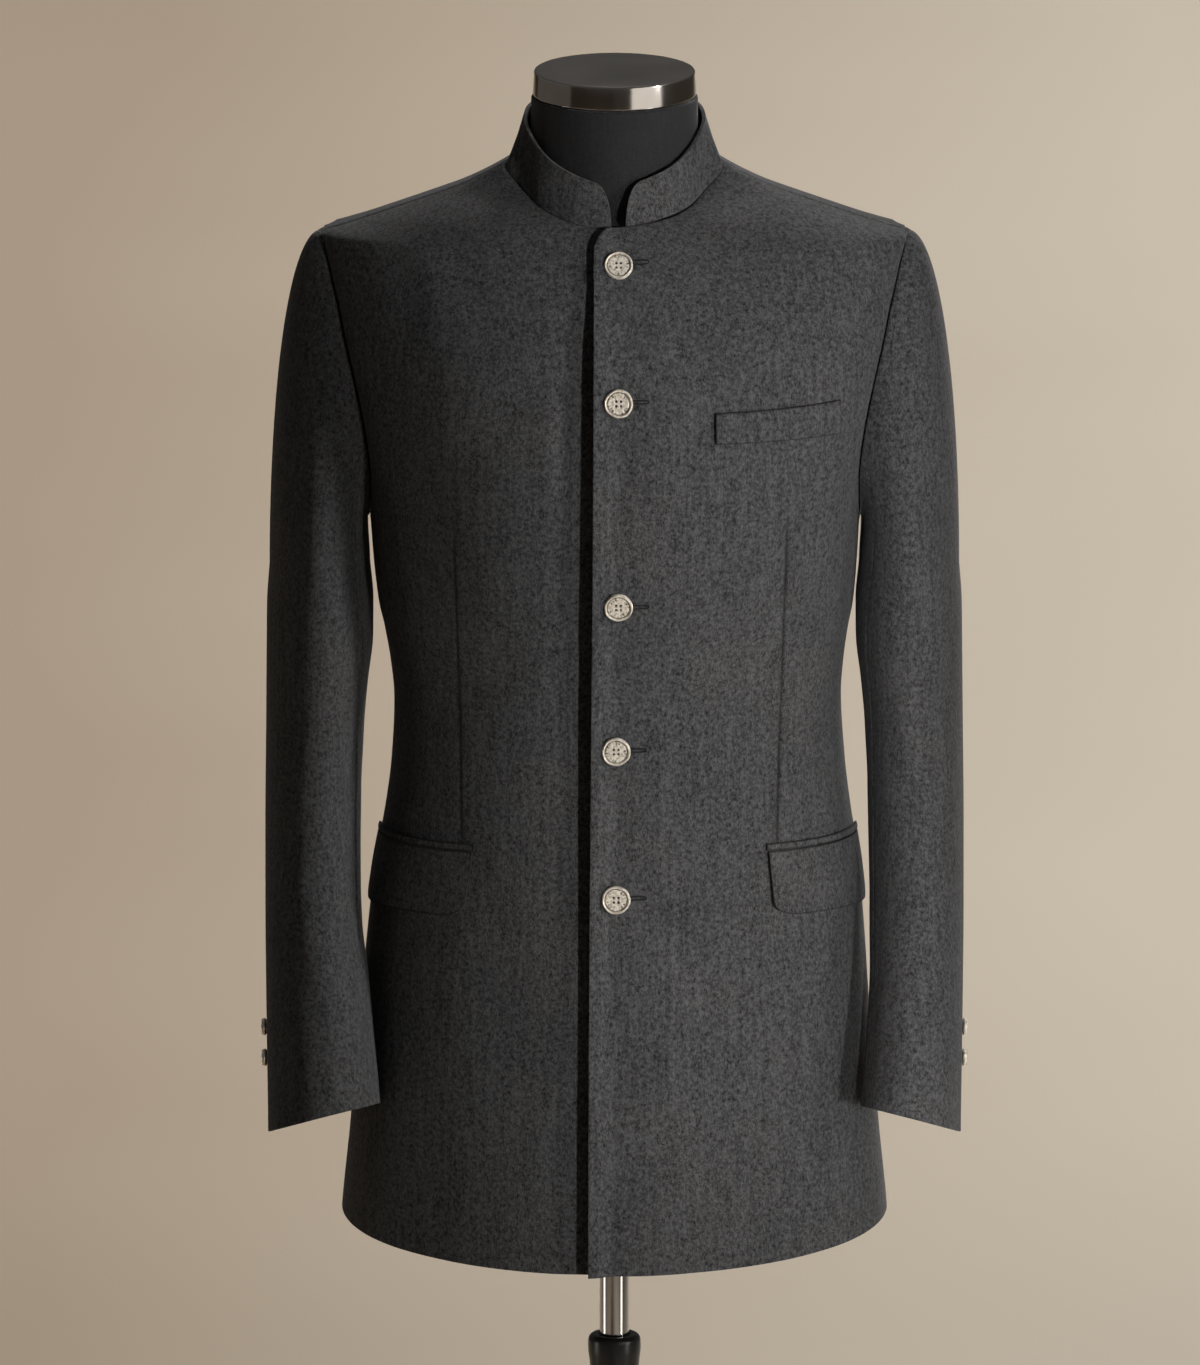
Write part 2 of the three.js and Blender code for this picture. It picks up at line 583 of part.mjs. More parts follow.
function sleeveSheet(side, columns, seamA, seamB) {
  const outer = [];
  const inner = [];
  for (const t of sleeveLevels) {
    const turned = smooth(t / 2);
    const from = mix(seamA.top, seamA.cuff, turned) * degree;
    const to = mix(seamB.top, seamB.cuff, turned) * degree;
    const gap = seamGap / 2 / armTurnRadius;
    const angles = Array.from({ length: columns + 1 }, (_, j) => mix(from + gap, to - gap, j / columns));
    outer.push(angles.map((phi) => mirrored(sleevePoint(side, phi, t), side)));
    inner.push(angles.map((phi) => mirrored(sleevePoint(side, phi, t, -wall), side)));
  }
  return sheetGeometry(outer, inner);
}

for (const [side, name] of [[1, 'left'], [-1, 'right']]) {
  const front = { top: sleeveSeams.frontTop, cuff: sleeveSeams.frontCuff };
  const back = { top: sleeveSeams.backTop, cuff: sleeveSeams.backCuff };
  const behind = { top: back.top - 360, cuff: back.cuff - 360 };
  addMesh(`sleeve_top_${name}`, sleeveSheet(side, 10, behind, front), 'wool');
  addMesh(`sleeve_under_${name}`, sleeveSheet(side, 8, front, back), 'wool');
}

// Pieces that lie on a front: a grid between an inner and an outer edge and two heights,
// taken from the front's own points and moved out.
function patch(side, columns, rows, place) {
  const outer = [];
  const inner = [];
  for (let i = 0; i <= rows; i += 1) {
    const line = Array.from({ length: columns + 1 }, (_, j) => place(j / columns, i / rows, side));
    const raise = (lift) => ({ angle, z, puff }) => {
      const x = bodyHalf(z) * Math.sin(angle);
      const under = side > 0 ? lapLift(x, z) : 0;
      return mirrored(bodyPoint(side, angle, z, under + patchLift + lift + (puff || 0)), side);
    };
    inner.push(line.map(raise(0)));
    outer.push(line.map(raise(patchWall)));
  }
  return sheetGeometry(outer, inner);
}

function flapPlace(across, up, side) {
  const top = mix(hipFlap.topInner, hipFlap.topOuter, across);
  const inset = (end) => Math.max(1 - end / (hipFlap.cornerRound / hipFlap.width), 0);
  const corner = hipFlap.cornerRound * (inset(across) ** 2 + inset(1 - across) ** 2) * 0.6;
  const bottom = mix(hipFlap.bottomInner, hipFlap.bottomOuter, across) + corner;
  const z = mix(bottom, top, up);
  const shift = side < 0 ? hipFlap.rightShift : 0;
  const from = angleAtX(mix(hipFlap.bottomInnerX, hipFlap.innerX, up) + shift, z);
  return { angle: mix(from, hipFlap.outerAngle * degree, across), z, puff: hipFlap.puff * (1 - up) * Math.sin(Math.PI * across) };
}

function jettingPlace(across, up, side) {
  const bottom = mix(hipFlap.topInner, hipFlap.topOuter, across) + jetting.gap;
  const z = bottom + jetting.height * up;
  const shift = side < 0 ? hipFlap.rightShift : 0;
  const from = angleAtX(hipFlap.innerX - jetting.over + shift, z);
  return { angle: mix(from, (hipFlap.outerAngle + 0.4) * degree, across), z };
}

function weltPlace(across, up) {
  const bottom = mix(breastWelt.bottomInner, breastWelt.bottomOuter, across);
  const z = mix(bottom, mix(breastWelt.topInner, breastWelt.topOuter, across), up);
  return { angle: mix(angleAtX(breastWelt.innerX, z), angleAtX(breastWelt.outerX, z), across), z };
}

for (const [side, name] of [[1, 'left'], [-1, 'right']]) {
  addMesh(`pocket_flap_${name}`, patch(side, 10, 4, flapPlace), 'wool');
  addMesh(`pocket_jetting_${name}`, patch(side, 10, 1, jettingPlace), 'wool');
}
addMesh('chest_welt', patch(1, 8, 2, weltPlace), 'wool');

// Buttons: a dished disc with a raised rim and four thread holes
function manifoldOf(geometry) {
  geometry.deleteAttribute('normal');
  geometry.deleteAttribute('uv');
  const merged = mergeVertices(geometry, 1e-4);
  const vertProperties = merged.attributes.position.array;
  const triVerts = Uint32Array.from(merged.index.array);
  return new wasm.Manifold(new wasm.Mesh({ numProp: 3, vertProperties, triVerts }));
}

function geometryOf(solid) {
  const mesh = solid.getMesh();
  const geometry = new THREE.BufferGeometry();
  geometry.setAttribute('position', new THREE.BufferAttribute(mesh.vertProperties, 3));
  geometry.setIndex(new THREE.BufferAttribute(mesh.triVerts, 1));
  geometry.computeVertexNormals();
  return geometry;
}

function buttonGeometry(size) {
  const profile = [
    [0, 0],
    [size.radius * 0.86, 0],
    [size.radius, size.thickness * 0.4],
    [size.radius * 0.97, size.thickness * 0.85],
    [size.radius - size.rim * 0.6, size.thickness],
    [size.radius - size.rim * 1.5, size.thickness - size.dish],
    [0, size.thickness - size.dish * 0.8],
  ].map(([x, y]) => new THREE.Vector2(x, y));
  const disc = new THREE.LatheGeometry(profile, size.sides).rotateX(Math.PI / 2);
  let solid = manifoldOf(disc);
  for (const [x, y] of [[-1, -1], [-1, 1], [1, -1], [1, 1]]) {
    const drill = new THREE.CylinderGeometry(size.hole, size.hole, size.thickness * 3, 5).rotateX(Math.PI / 2);
    drill.translate((x * size.spacing) / 2, (y * size.spacing) / 2, 0);
    solid = solid.subtract(manifoldOf(drill));
  }
  return geometryOf(solid);
}

function sitOn(mesh, point, outward) {
  mesh.position.copy(point);
  mesh.quaternion.setFromUnitVectors(new THREE.Vector3(0, 0, 1), outward);
}

frontButtons.forEach(({ x, z }, index) => {
  const button = addMesh(`front_button_${index + 1}`, buttonGeometry(frontButton), 'button');
  const angle = angleAtX(x, z);
  const lift = lapLift(x - frontButton.radius * 0.6, z) + frontButton.lift;
  const normal = surfaceNormal(ringPoint, angle, z, 0.01, 1);
  sitOn(button, bodyPoint(1, angle, z, lift), normal);
});

// The t at which the middle of a sleeve is at height z.
function sleeveTAt(z) {
  return 1 + (sleeveHead.ringZ - z) / (sleeveHead.ringZ - cuff.z);
}

for (const [side, name] of [[1, 'left'], [-1, 'right']]) {
  cuffButtons.forEach(({ z, angle }, index) => {
    const button = addMesh(`cuff_button_${name}_${index + 1}`, buttonGeometry(cuffButton), 'button');
    const t = sleeveTAt(z + 10);
    const near = mirrored(sleevePoint(side, angle * degree, t, cuffButton.lift), side);
    const far = mirrored(sleevePoint(side, angle * degree, t, cuffButton.lift + 5), side);
    sitOn(button, near, far.sub(near).normalize());
  });
}

// Dress form: the body's rings moved in, flat where the arms would be, and a round neck
function formGeometry() {
  const columns = 40;
  const bodyLevels = [722, 760, 820, 880, 930, 970, 1013, 1050, 1090, 1130, 1170, 1210, 1250, 1290, 1320];
  const clearAt = (z) => mix(formClear, wall + restGap, smooth((z - 1262) / 80));
  const frontRows = panelRows(true).slice(-panelSteps.shoulder - 1);
  const backRows = panelRows(false).slice(-panelSteps.shoulder - 1);
  const bodyRing = (heightAt) => Array.from({ length: columns }, (_, j) => {
    const turn = (2 * Math.PI * j) / columns;
    const side = turn <= Math.PI ? 1 : -1;
    const angle = side > 0 ? turn : 2 * Math.PI - turn;
    const z = heightAt(angle);
    const normal = surfaceNormal(ringPoint, angle, z, 0.01, 1);
    const point = ringPoint(angle, z).addScaledVector(normal, -clearAt(z));
    point.x = Math.min(point.x, plateX(z));
    return mirrored(point, side);
  });
  const rings = bodyLevels.map((z) => bodyRing(() => z));
  frontRows.forEach((row, i) => {
    rings.push(bodyRing((angle) => rowHeight(angle <= Math.PI / 2 ? row : backRows[i], angle)));
  });
  const root = rings[rings.length - 1];
  const neckRing = (share) => root.map((point) => {
    const way = Math.atan2(point.x, -(point.y - neck.setBack));
    const x = neck.radius * Math.sin(way);
    const y = neck.setBack - neck.radius * Math.cos(way);
    return new THREE.Vector3(x, y, mix(point.z + 9, neck.topZ, share));
  });
  for (const share of [0, 0.5, 1]) rings.push(neckRing(share));
  rings.unshift(rings[0].map((point) => new THREE.Vector3(point.x * 0.93, point.y * 0.93, formBottomZ)));
  return ringedGeometry(rings);
}

// The widest that the form may be at a height, so that its arm plates end inside the armholes.
function plateX(z) {
  const open = angleAtY(-armholeFrontDepth * 0.8, z);
  const rim = ringPoint(open, z).x - formPlateClear;
  const inArmhole = smooth((z - (underarmZ - 30)) / 30) * (1 - smooth((z - 1325) / 28));
  return Math.min(mix(bodyHalf(z), rim, inArmhole), formShoulderX);
}

function ringedGeometry(rings) {
  const columns = rings[0].length;
  const points = rings.flat();
  const faces = [];
  for (let i = 0; i < rings.length - 1; i += 1) {
    for (let j = 0; j < columns; j += 1) {
      const next = (j + 1) % columns;
      const [a, b] = [i * columns + j, i * columns + next];
      const [c, d] = [(i + 1) * columns + next, (i + 1) * columns + j];
      faces.push(a, b, c, a, c, d);
    }
  }
  const cap = (start, up) => {
    const centre = points.length;
    const middle = new THREE.Vector3();
    for (let j = 0; j < columns; j += 1) middle.add(points[start + j]);
    points.push(middle.divideScalar(columns));
    for (let j = 0; j < columns; j += 1) {
      const next = (j + 1) % columns;
      if (up) faces.push(centre, start + j, start + next);
      else faces.push(centre, start + next, start + j);
    }
  };
  cap(0, false);
  cap((rings.length - 1) * columns, true);
  return solidGeometry(points, faces);
}

addMesh('dress_form', formGeometry(), 'cover');

function lathe(profile, sides) {
  const points = profile.map(([radius, z]) => new THREE.Vector2(radius, z));
  const geometry = new THREE.LatheGeometry(points, sides).rotateX(Math.PI / 2);
  geometry.deleteAttribute('normal');
  geometry.deleteAttribute('uv');
  const merged = mergeVertices(geometry, 1e-4);
  merged.computeVertexNormals();
  return merged;
}

const cap = addMesh('neck_cap', lathe([
  [0, neckCap.bottomZ],
  [neckCap.bottomRadius - neckCap.bevel, neckCap.bottomZ],
  [neckCap.bottomRadius, neckCap.bottomZ + neckCap.bevel],
  [neckCap.topRadius, neckCap.topZ - neckCap.bevel],
  [neckCap.topRadius - neckCap.bevel, neckCap.topZ],
  [0, neckCap.topZ],
], 36), 'cap');
cap.position.y = neck.setBack;

addMesh('pole', lathe([
  [0, pole.bottomZ],
  [pole.radius, pole.bottomZ],
  [pole.radius, formBottomZ - seamGap],
  [0, formBottomZ - seamGap],
], 20), 'chrome');

const poleHole = pole.radius + seamGap;
addMesh('pole_clamp', lathe([
  [poleHole, poleClamp.bottomZ],
  [poleClamp.lowRadius, poleClamp.bottomZ],
  [poleClamp.topRadius, poleClamp.topZ - poleClamp.round * 2.4],
  [poleClamp.topRadius, poleClamp.topZ - poleClamp.round],
  [poleClamp.topRadius - poleClamp.round * 0.35, poleClamp.topZ - poleClamp.round * 0.3],
  [poleClamp.topRadius - poleClamp.round, poleClamp.topZ],
  [poleHole, poleClamp.topZ],
  [poleHole, poleClamp.bottomZ],
], 20), 'black');

addMesh('column', lathe([
  [columnTube.inner, columnTube.bottomZ],
  [columnTube.outer, columnTube.bottomZ],
  [columnTube.outer, columnTube.topZ],
  [columnTube.inner, columnTube.topZ],
  [columnTube.inner, columnTube.bottomZ],
], 20), 'black');

const socket = columnTube.outer + seamGap;
addMesh('base', lathe([
  [0, 0],
  [base.radius - 2, 0],
  [base.radius, base.edge * 0.4],
  [base.radius - 1.5, base.edge],
  [base.radius * 0.55, base.height * 0.85],
  [base.hub, base.height * 1.15],
  [base.hub * 0.62, base.hubHeight * 0.7],
  [base.hub * 0.55, base.hubHeight],
  [socket, base.hubHeight],
  [socket, base.height],
  [0, base.height],
], 40), 'black');

export default object;
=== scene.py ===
"""The looks of a bandhgala jacket that rests on a limbless dress form on its stand.

Sizes are in millimetres until mesh_of() puts a surface into Blender in metres.
Left and right are the wearer's: the left side is at +X and the front faces -Y.
Angles round the body run from 0 at the centre front to 180 at the centre back.
"""

import math

import bmesh
import bpy
import numpy as np
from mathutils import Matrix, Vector


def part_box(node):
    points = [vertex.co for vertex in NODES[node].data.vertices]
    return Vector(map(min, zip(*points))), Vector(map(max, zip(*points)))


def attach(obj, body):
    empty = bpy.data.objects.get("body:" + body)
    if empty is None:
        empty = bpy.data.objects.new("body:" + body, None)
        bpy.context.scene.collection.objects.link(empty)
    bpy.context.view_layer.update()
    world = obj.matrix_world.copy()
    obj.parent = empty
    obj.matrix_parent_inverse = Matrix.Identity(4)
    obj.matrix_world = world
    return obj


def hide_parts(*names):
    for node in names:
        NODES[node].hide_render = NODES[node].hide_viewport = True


MM = 0.001
DEGREE = math.pi / 180

# Driving sizes, as in the solids
WALL = 2
COLLAR_WALL = 2.6
SEAM_GAP = 0.32
LAP_GAP = 0.6
REST_GAP = 2
HEM_SIDE = 617.6
HEM_FALL_PER_DEPTH = 0.18
UNDERARM_Z = 1146
SHOULDER_TIP_Z = 1363.7
ARMHOLE_FRONT, ARMHOLE_BACK = 60, 62
ARMHOLE_SKEW = 15 * DEGREE
ARMHOLE_SET_BACK = 10
RIGHT_WAIST = {"take": 5.5, "z": 955, "run": 130}
CENTRE_ROWS = {"chest": 1152, "front_yoke": 1334, "back_yoke": 1348}
BODY_FOLD_RADIUS, SLEEVE_FOLD_RADIUS, SLEEVE_CLOTH_RADIUS = 130, 58, 52

# Rings of the body cloth: height, half width, depth to the front and back, superellipse power
BODY_RINGS = [
    (577, 206, 127, 125, 2),
    (617.6, 203.7, 126, 124, 2),
    (679, 197.7, 124, 122, 2.06),
    (761, 191, 121, 120, 2.15),
    (830, 186.5, 119, 117, 2.2),
    (882.5, 182.4, 117, 112, 2.22),
    (928, 175.6, 114.5, 107, 2.25),
    (961, 171.7, 113, 104, 2.27),
    (1013, 168.7, 113, 102, 2.3),
    (1040, 170.6, 115.5, 103.5, 2.33),
    (1066, 174.2, 119, 106, 2.36),
    (1083.5, 177.6, 122, 109, 2.38),
    (1118.5, 180.6, 128.5, 114.5, 2.42),
    (1146, 182.2, 132.5, 118, 2.45),
    (1189, 187.6, 135.5, 120.5, 2.45),
    (1223, 194.4, 134.5, 121, 2.44),
    (1265.5, 203.8, 128.5, 120, 2.42),
    (1290.5, 209, 122, 118, 2.4),
    (1313, 212.6, 113.5, 115, 2.35),
    (1335, 216.2, 103, 110.5, 2.27),
    (1354.5, 217.8, 91.5, 105, 2.18),
    (1363.7, 218, 85.5, 102, 2.12),
    (1369, 201.5, 82, 100, 2.08),
    (1375, 183.5, 77.5, 97.5, 2.04),
    (1381, 166, 71.5, 95, 2.02),
    (1387, 148.5, 61.5, 92, 2),
    (1392, 134, 51.5, 89.5, 2),
    (1396, 122.5, 41.5, 87.5, 2),
    (1407, 98.5, 24, 81, 2),
    (1419, 78, 17.5, 72.5, 2),
    (1427, 67, 16, 67.5, 2),
]

# The neck seam and the collar's top edge: height by the angle from the centre front
NECK_SEAM = [(0, 1380.5), (9.5, 1383.2), (15, 1386.3), (25, 1392.4), (40, 1402.2)]
NECK_SEAM += [(62, 1411.5), (90, 1419), (135, 1422), (180, 1423)]
COLLAR_TOP = [(0, 1411), (20, 1417), (40, 1425), (90, 1451), (112, 1455.5), (180, 1460)]
COLLAR = {"half": 67.4, "front": 66.5, "back": 70.5, "end_round": 14, "end_power": 2.3}
COLLAR_END_X = {1: 8.6, -1: 2.6}

# Rings of the arms: height, inner and outer side, middle from front to back, half depth, spread
SLEEVE_RINGS = [
    (1113, 181.9, 256.4, -2, 76, 0),
    (1084, 179.4, 258.4, -3, 74.5, 0),
    (1058, 179.6, 258.8, -4, 73, 0),
    (1023, 183.5, 259.2, -6, 71, 0),
    (991, 186.3, 259.5, -9, 69, 0),
    (917, 188.9, 260.2, -19, 64.5, 0),
    (869, 189.4, 260.2, -29, 61.5, 0.5),
    (843, 188.9, 260.1, -36, 59.5, 1),
    (798, 186.3, 259.5, -51, 56, 3.6),
    (756, 183.2, 258.8, -65, 53, 4.2),
    (714, 179.6, 258.1, -78, 50, 4.4),
    (684, 177, 257.9, -86, 48.5, 4.5),
]
SLEEVE_HEAD = {"reach_top": 21, "reach_under": 4, "rise": 0.1, "drop": 0.6, "ring_z": 1113}
CUFF = {"z": 704.5, "forward": 0.25, "inward": 0.26, "from": 880}
SLEEVE_SEAMS = {"front": (120, 160), "back": (280, 346)}

# Soft folds: side, angle, height, run, width, depth (a trough below 0), lean. The first rows
# are the large ones of the solids, the others are lighter
BODY_FOLDS = [
    (1, 21, 815, 62, 17, -2.2, -0.3),
    (1, 52, 742, 80, 24, 2.4, 0.06),
    (1, 34, 668, 70, 22, -2, 0.1),
    (1, 30, 1040, 46, 24, -1.8, 0.9),
    (1, 44, 1190, 52, 20, -1.8, -0.35),
    (-1, 27, 800, 84, 22, -2.4, 0.12),
    (-1, 56, 700, 76, 25, 2.6, -0.08),
    (-1, 33, 1052, 40, 22, -1.8, -0.9),
    (-1, 36, 1316, 34, 15, 1.6, 0.2),
    (-1, 46, 1196, 58, 20, -2, 0.3),
    (1, 148, 1010, 42, 26, -2.6, 0.8),
    (1, 128, 760, 96, 25, 2.8, 0.05),
    (1, 157, 700, 84, 22, -2.2, -0.06),
    (-1, 142, 1022, 48, 26, -2.4, -0.7),
    (-1, 133, 735, 88, 26, 2.6, -0.04),
    (-1, 160, 790, 70, 20, -1.8, 0.05),
]
BODY_CREASES = [
    (1, 17, 1305, 34, 11, -1.05, 0.5),
    (1, 26, 1262, 40, 13, -1.2, 0.75),
    (1, 12, 1168, 46, 12, -0.9, 0.25),
    (1, 36, 1116, 38, 14, -1.05, -0.5),
    (1, 33, 900, 40, 13, -1.05, -0.5),
    (1, 44, 826, 52, 13, -1.2, -0.35),
    (1, 13, 700, 56, 11, 1.05, 0.08),
    (1, 25, 640, 44, 14, 1.2, 0.05),
    (1, 47, 632, 38, 15, -1.35, -0.05),
    (-1, 30, 1344, 20, 7, -0.9, 0.3),
    (-1, 42, 1334, 24, 8, -1.05, 0.15),
    (-1, 52, 1322, 26, 9, 1.05, 0.1),
    (-1, 24, 1250, 44, 13, -1.2, -0.6),
    (-1, 17, 1150, 50, 13, -1.05, -0.2),
    (-1, 40, 1108, 36, 13, -1.05, 0.5),
    (-1, 38, 905, 36, 12, -1.05, 0.45),
    (-1, 16, 706, 60, 12, 1.2, -0.06),
    (-1, 42, 640, 46, 14, -1.35, 0.05),
    (1, 112, 930, 44, 16, -1.65, 0.5),
    (1, 163, 1168, 50, 15, -1.35, 0.35),
    (1, 138, 1258, 44, 16, -1.5, -0.3),
    (1, 168, 880, 60, 13, 1.2, 0.05),
    (1, 118, 668, 46, 16, -1.5, 0.04),
    (-1, 115, 936, 40, 16, -1.65, -0.45),
    (-1, 158, 1176, 56, 15, -1.35, -0.3),
    (-1, 134, 1250, 42, 15, -1.5, 0.35),
    (-1, 171, 868, 56, 12, 1.05, -0.04),
    (-1, 121, 676, 52, 15, -1.5, -0.05),
]
SLEEVE_FOLDS = [
    (1, 82, 968, 17, 30, -3.4, 0.3),
    (1, 66, 1012, 20, 34, -2.2, -0.35),
    (1, 62, 1205, 60, 15, -2.4, 0.1),
    (1, 292, 1140, 74, 17, -3, 0),
    (1, 262, 930, 60, 20, 2.6, 0),
    (1, 70, 800, 42, 20, -1.8, 0.25),
    (-1, 86, 952, 18, 32, -3.6, -0.25),
    (-1, 70, 1004, 22, 32, -2.4, 0.3),
    (-1, 58, 1190, 70, 15, -2.6, -0.1),
    (-1, 288, 1126, 66, 18, -2.8, 0),
    (-1, 258, 944, 64, 20, 2.4, 0),
    (-1, 76, 812, 46, 20, -2, -0.2),
]
SLEEVE_CREASES = [
    (1, 40, 1296, 34, 8, -0.7, 0.1),
    (1, 18, 1120, 90, 12, 0.7, 0),
    (1, 100, 1088, 24, 12, -1, 0.6),
    (1, 96, 905, 12, 18, -1.3, -0.3),
    (1, 55, 900, 16, 20, -0.9, 0.4),
    (1, 40, 758, 34, 14, -0.8, 0.1),
    (1, 210, 960, 14, 24, -1.6, 0.2),
    (1, 240, 1040, 16, 22, -1.4, -0.3),
    (1, 330, 880, 60, 12, 0.8, 0),
    (-1, 36, 1300, 30, 8, -0.7, -0.1),
    (-1, 14, 1104, 84, 12, 0.7, 0),
    (-1, 104, 1070, 22, 12, -1, -0.6),
    (-1, 94, 884, 13, 18, -1.2, 0.3),
    (-1, 50, 916, 18, 20, -0.9, -0.4),
    (-1, 44, 768, 36, 14, -0.9, -0.1),
    (-1, 206, 948, 15, 24, -1.6, -0.2),
    (-1, 236, 1026, 17, 22, -1.3, 0.3),
    (-1, 326, 900, 64, 12, 0.8, 0),
]

# The waist darts: the line of each, as heights and distances from the centre line
DARTS = {1: [(915, 121), (980, 122.2), (1183, 128.9)], -1: [(915, 113.6), (1015, 115), (1180, 120)]}
DART_DEPTH, DART_WIDTH = 0.75, 1.1

HIP_FLAP = {"inner_x": 113.6, "bottom_inner_x": 117.6, "outer": 86.5, "top": (912.4, 908)}
HIP_FLAP.update(bottom=(864, 857), round=11, shift={1: 0, -1: -5}, length=78)
FLAP_STANDS_OFF = {"middle": 1.2, "edge": 0.5, "inner_corner": 1.9}
JETTING = {"height": 5.6, "gap": 0.5, "over": 1.5}
WELT = {"inner_x": 74.6, "outer_x": 166.3, "top": (1253.5, 1255.6), "bottom": (1230.5, 1229.3)}
# How far the pocket pieces stand off, and how far in from their edges painted shade reaches
PATCH_LIFT, SEAM_SHADE_WIDTH = 0.62, 1.8

LAP = {"edge_top": 15.2, "edge_hem": 19, "under": 21, "level_to": 26, "blend": 44}
LAP.update(lift_top=4.4, lift_hem=8, lift_width=20, corner=16)
LAP_DIP = {"deep": 7, "low": 2.5, "level_to": 17, "run": 34, "fade_from": 1270, "fade_over": 85}
LAP_DIP.update(deep_from=780, deep_over=260)
FRONT_BUTTON = {"radius": 10.8, "thickness": 4.2, "sides": 96, "hole": 0.95, "spacing": 3.4}
CUFF_BUTTON = {"radius": 6.4, "thickness": 3.4, "sides": 60, "hole": 0.7, "spacing": 2.2}
BUTTON_RIM = 1.25
BUTTONHOLE = {"from": 8, "to": 22.5, "lip": 0.75, "open": 0.55}

NECK = {"radius": 61.9, "set_back": 1.5, "top_z": 1466.8, "brim": 2.3}
FORM_CLEAR, FORM_PLATE_CLEAR, FORM_SHOULDER_X, FORM_BOTTOM_Z = 11, 5, 190, 716
FORM_TRUNK_Z = (722, 1320)
FORM_CLOSES_IN = {"from": 1262, "over": 80}

# The photo's camera: its distance, its slope, and where the garment's axis lies in the picture
CAMERA = {"distance": 25, "slope": 13.5, "mm_per_pixel": 0.745, "axis_px": 614.5, "look_z": 1018.7}
IMAGE = (1200, 1365)

# The lights in metres: name, place, aim, width and height, watts, colour, spread in degrees, and
# which kind of surface each leaves unlit. The glints show in metal and polish alone
WARM, COOL, PLAIN = (1, 0.95, 0.88), (1, 0.99, 0.98), (1, 1, 1)
LIGHTS = [
    ("key", (1.5, -1, 1.5), (-0.1, -0.47, 1.26), (0.5, 1.4), 4.25, COOL, 27, None),
    ("front_strip", (1.6, -2.5, 1.3), (0.08, -0.1, 1.12), (0.12, 1.2), 0.88, PLAIN, 10, "glossy"),
    ("sleeve_strip", (0.52, -2.95, 1.1), (0.24, -0.1, 1.02), (0.08, 1.3), 0.4, PLAIN, 5, "glossy"),
    ("glint_right", (1.15, -0.75, 0.36), (0, 0, 0.45), (0.22, 0.58), 1.5, WARM, 180, "diffuse"),
    ("glint_left", (-1.25, -0.12, 0.36), (0, 0, 0.45), (0.3, 0.58), 1.2, WARM, 180, "diffuse"),
    ("glint_panel", (0.95, -0.92, 1.25), (0, 0, 1.4), (1.1, 1), 3.7, WARM, 180, "diffuse"),
    ("glint_shade", (-1.3, 0.25, 1.36), (0, 0, 1.47), (2, 0.7), 0.3, WARM, 180, "diffuse"),
    ("back_fill", (0.9, 3.1, 3.2), (0, 0.1, 1), (1.6, 1.6), 24, (1, 0.98, 0.95), 50, "glossy"),
    ("floor_light", (0, 4.8, 5), (0, 4.801, 0), (5, 7.6), 108, (1, 0.98, 0.95), 50, None),
]


def mix(a, b, t):
    return a + (b - a) * t


def smooth(t):
    s = np.clip(t, 0, 1)
    return s * s * (3 - 2 * s)


def through(xs, ys):
    """A line through table rows that never overshoots them: a cubic between two rows whose
    slope at a row is the harmonic mean of the slopes beside it."""
    order = np.argsort(xs)
    xs, ys = np.asarray(xs, float)[order], np.asarray(ys, float)[order]
    steps = np.diff(ys) / np.diff(xs)
    before, after = steps[:-1], steps[1:]
    turns = before * after <= 0
    inner = np.where(turns, 0, 2 * before * after / np.where(turns, 1, before + after))
    slopes = np.concatenate([steps[:1], inner, steps[-1:]])

    def at(x):
        x = np.clip(x, xs[0], xs[-1])
        i = np.clip(np.searchsorted(xs, x) - 1, 0, len(xs) - 2)
        span = xs[i + 1] - xs[i]
        t = (x - xs[i]) / span
        stay = (1 + 2 * t) * (1 - t) ** 2
        lean = t * (1 - t) * span * ((1 - t) * slopes[i] - t * slopes[i + 1])
        return stay * ys[i] + (1 - stay) * ys[i + 1] + lean

    return at


def columns_of(rows, *names):
    """The smooth line of each named column of a table, against its first column."""
    table = np.array(rows, float)
    return {name: through(table[:, 0], table[:, k + 1]) for k, name in enumerate(names)}


BODY = columns_of(BODY_RINGS, "half", "front", "back", "power")
ARM = columns_of(SLEEVE_RINGS, "inner", "outer", "middle", "half_depth", "spread")
neck_seam_z = columns_of(NECK_SEAM, "z")["z"]
collar_top_z = columns_of(COLLAR_TOP, "z")["z"]


def fold_depth(folds, side, angle, z, radius):
    """How far soft folds move a point along its normal: the sum of bell curves, each across
    its own leaning line and fading along it."""
    depth = np.zeros(np.broadcast(angle, z).shape)
    for fold_side, fold_angle, fold_z, run, width, deep, lean in folds:
        if fold_side == side:
            rise = z - fold_z
            across = (angle - fold_angle * DEGREE) * radius - lean * rise
            depth = depth + deep * np.exp(-((across / width) ** 2) - (rise / run) ** 2)
    return depth


def ring_point(angle, z):
    """A point of the body's plain ring on the left side: a superellipse whose half width,
    depth and power change with the height."""
    power = BODY["power"](z)
    s, c = np.sin(angle), np.cos(angle)
    reach = (np.abs(s) ** power + np.abs(c) ** power) ** (-1 / power)
    depth = np.where(c > 0, BODY["front"](z), BODY["back"](z))
    return np.stack([BODY["half"](z) * s * reach, -depth * c * reach, z + 0 * s], axis=-1)


def normal_of(point_at, u, v, du, dv):
    """The unit normal of a surface of two parameters, from its slopes on both sides."""
    along_u = point_at(u + du, v) - point_at(u - du, v)
    along_v = point_at(u, v + dv) - point_at(u, v - dv)
    normal = np.cross(along_u, along_v)
    return normal / np.linalg.norm(normal, axis=-1, keepdims=True)


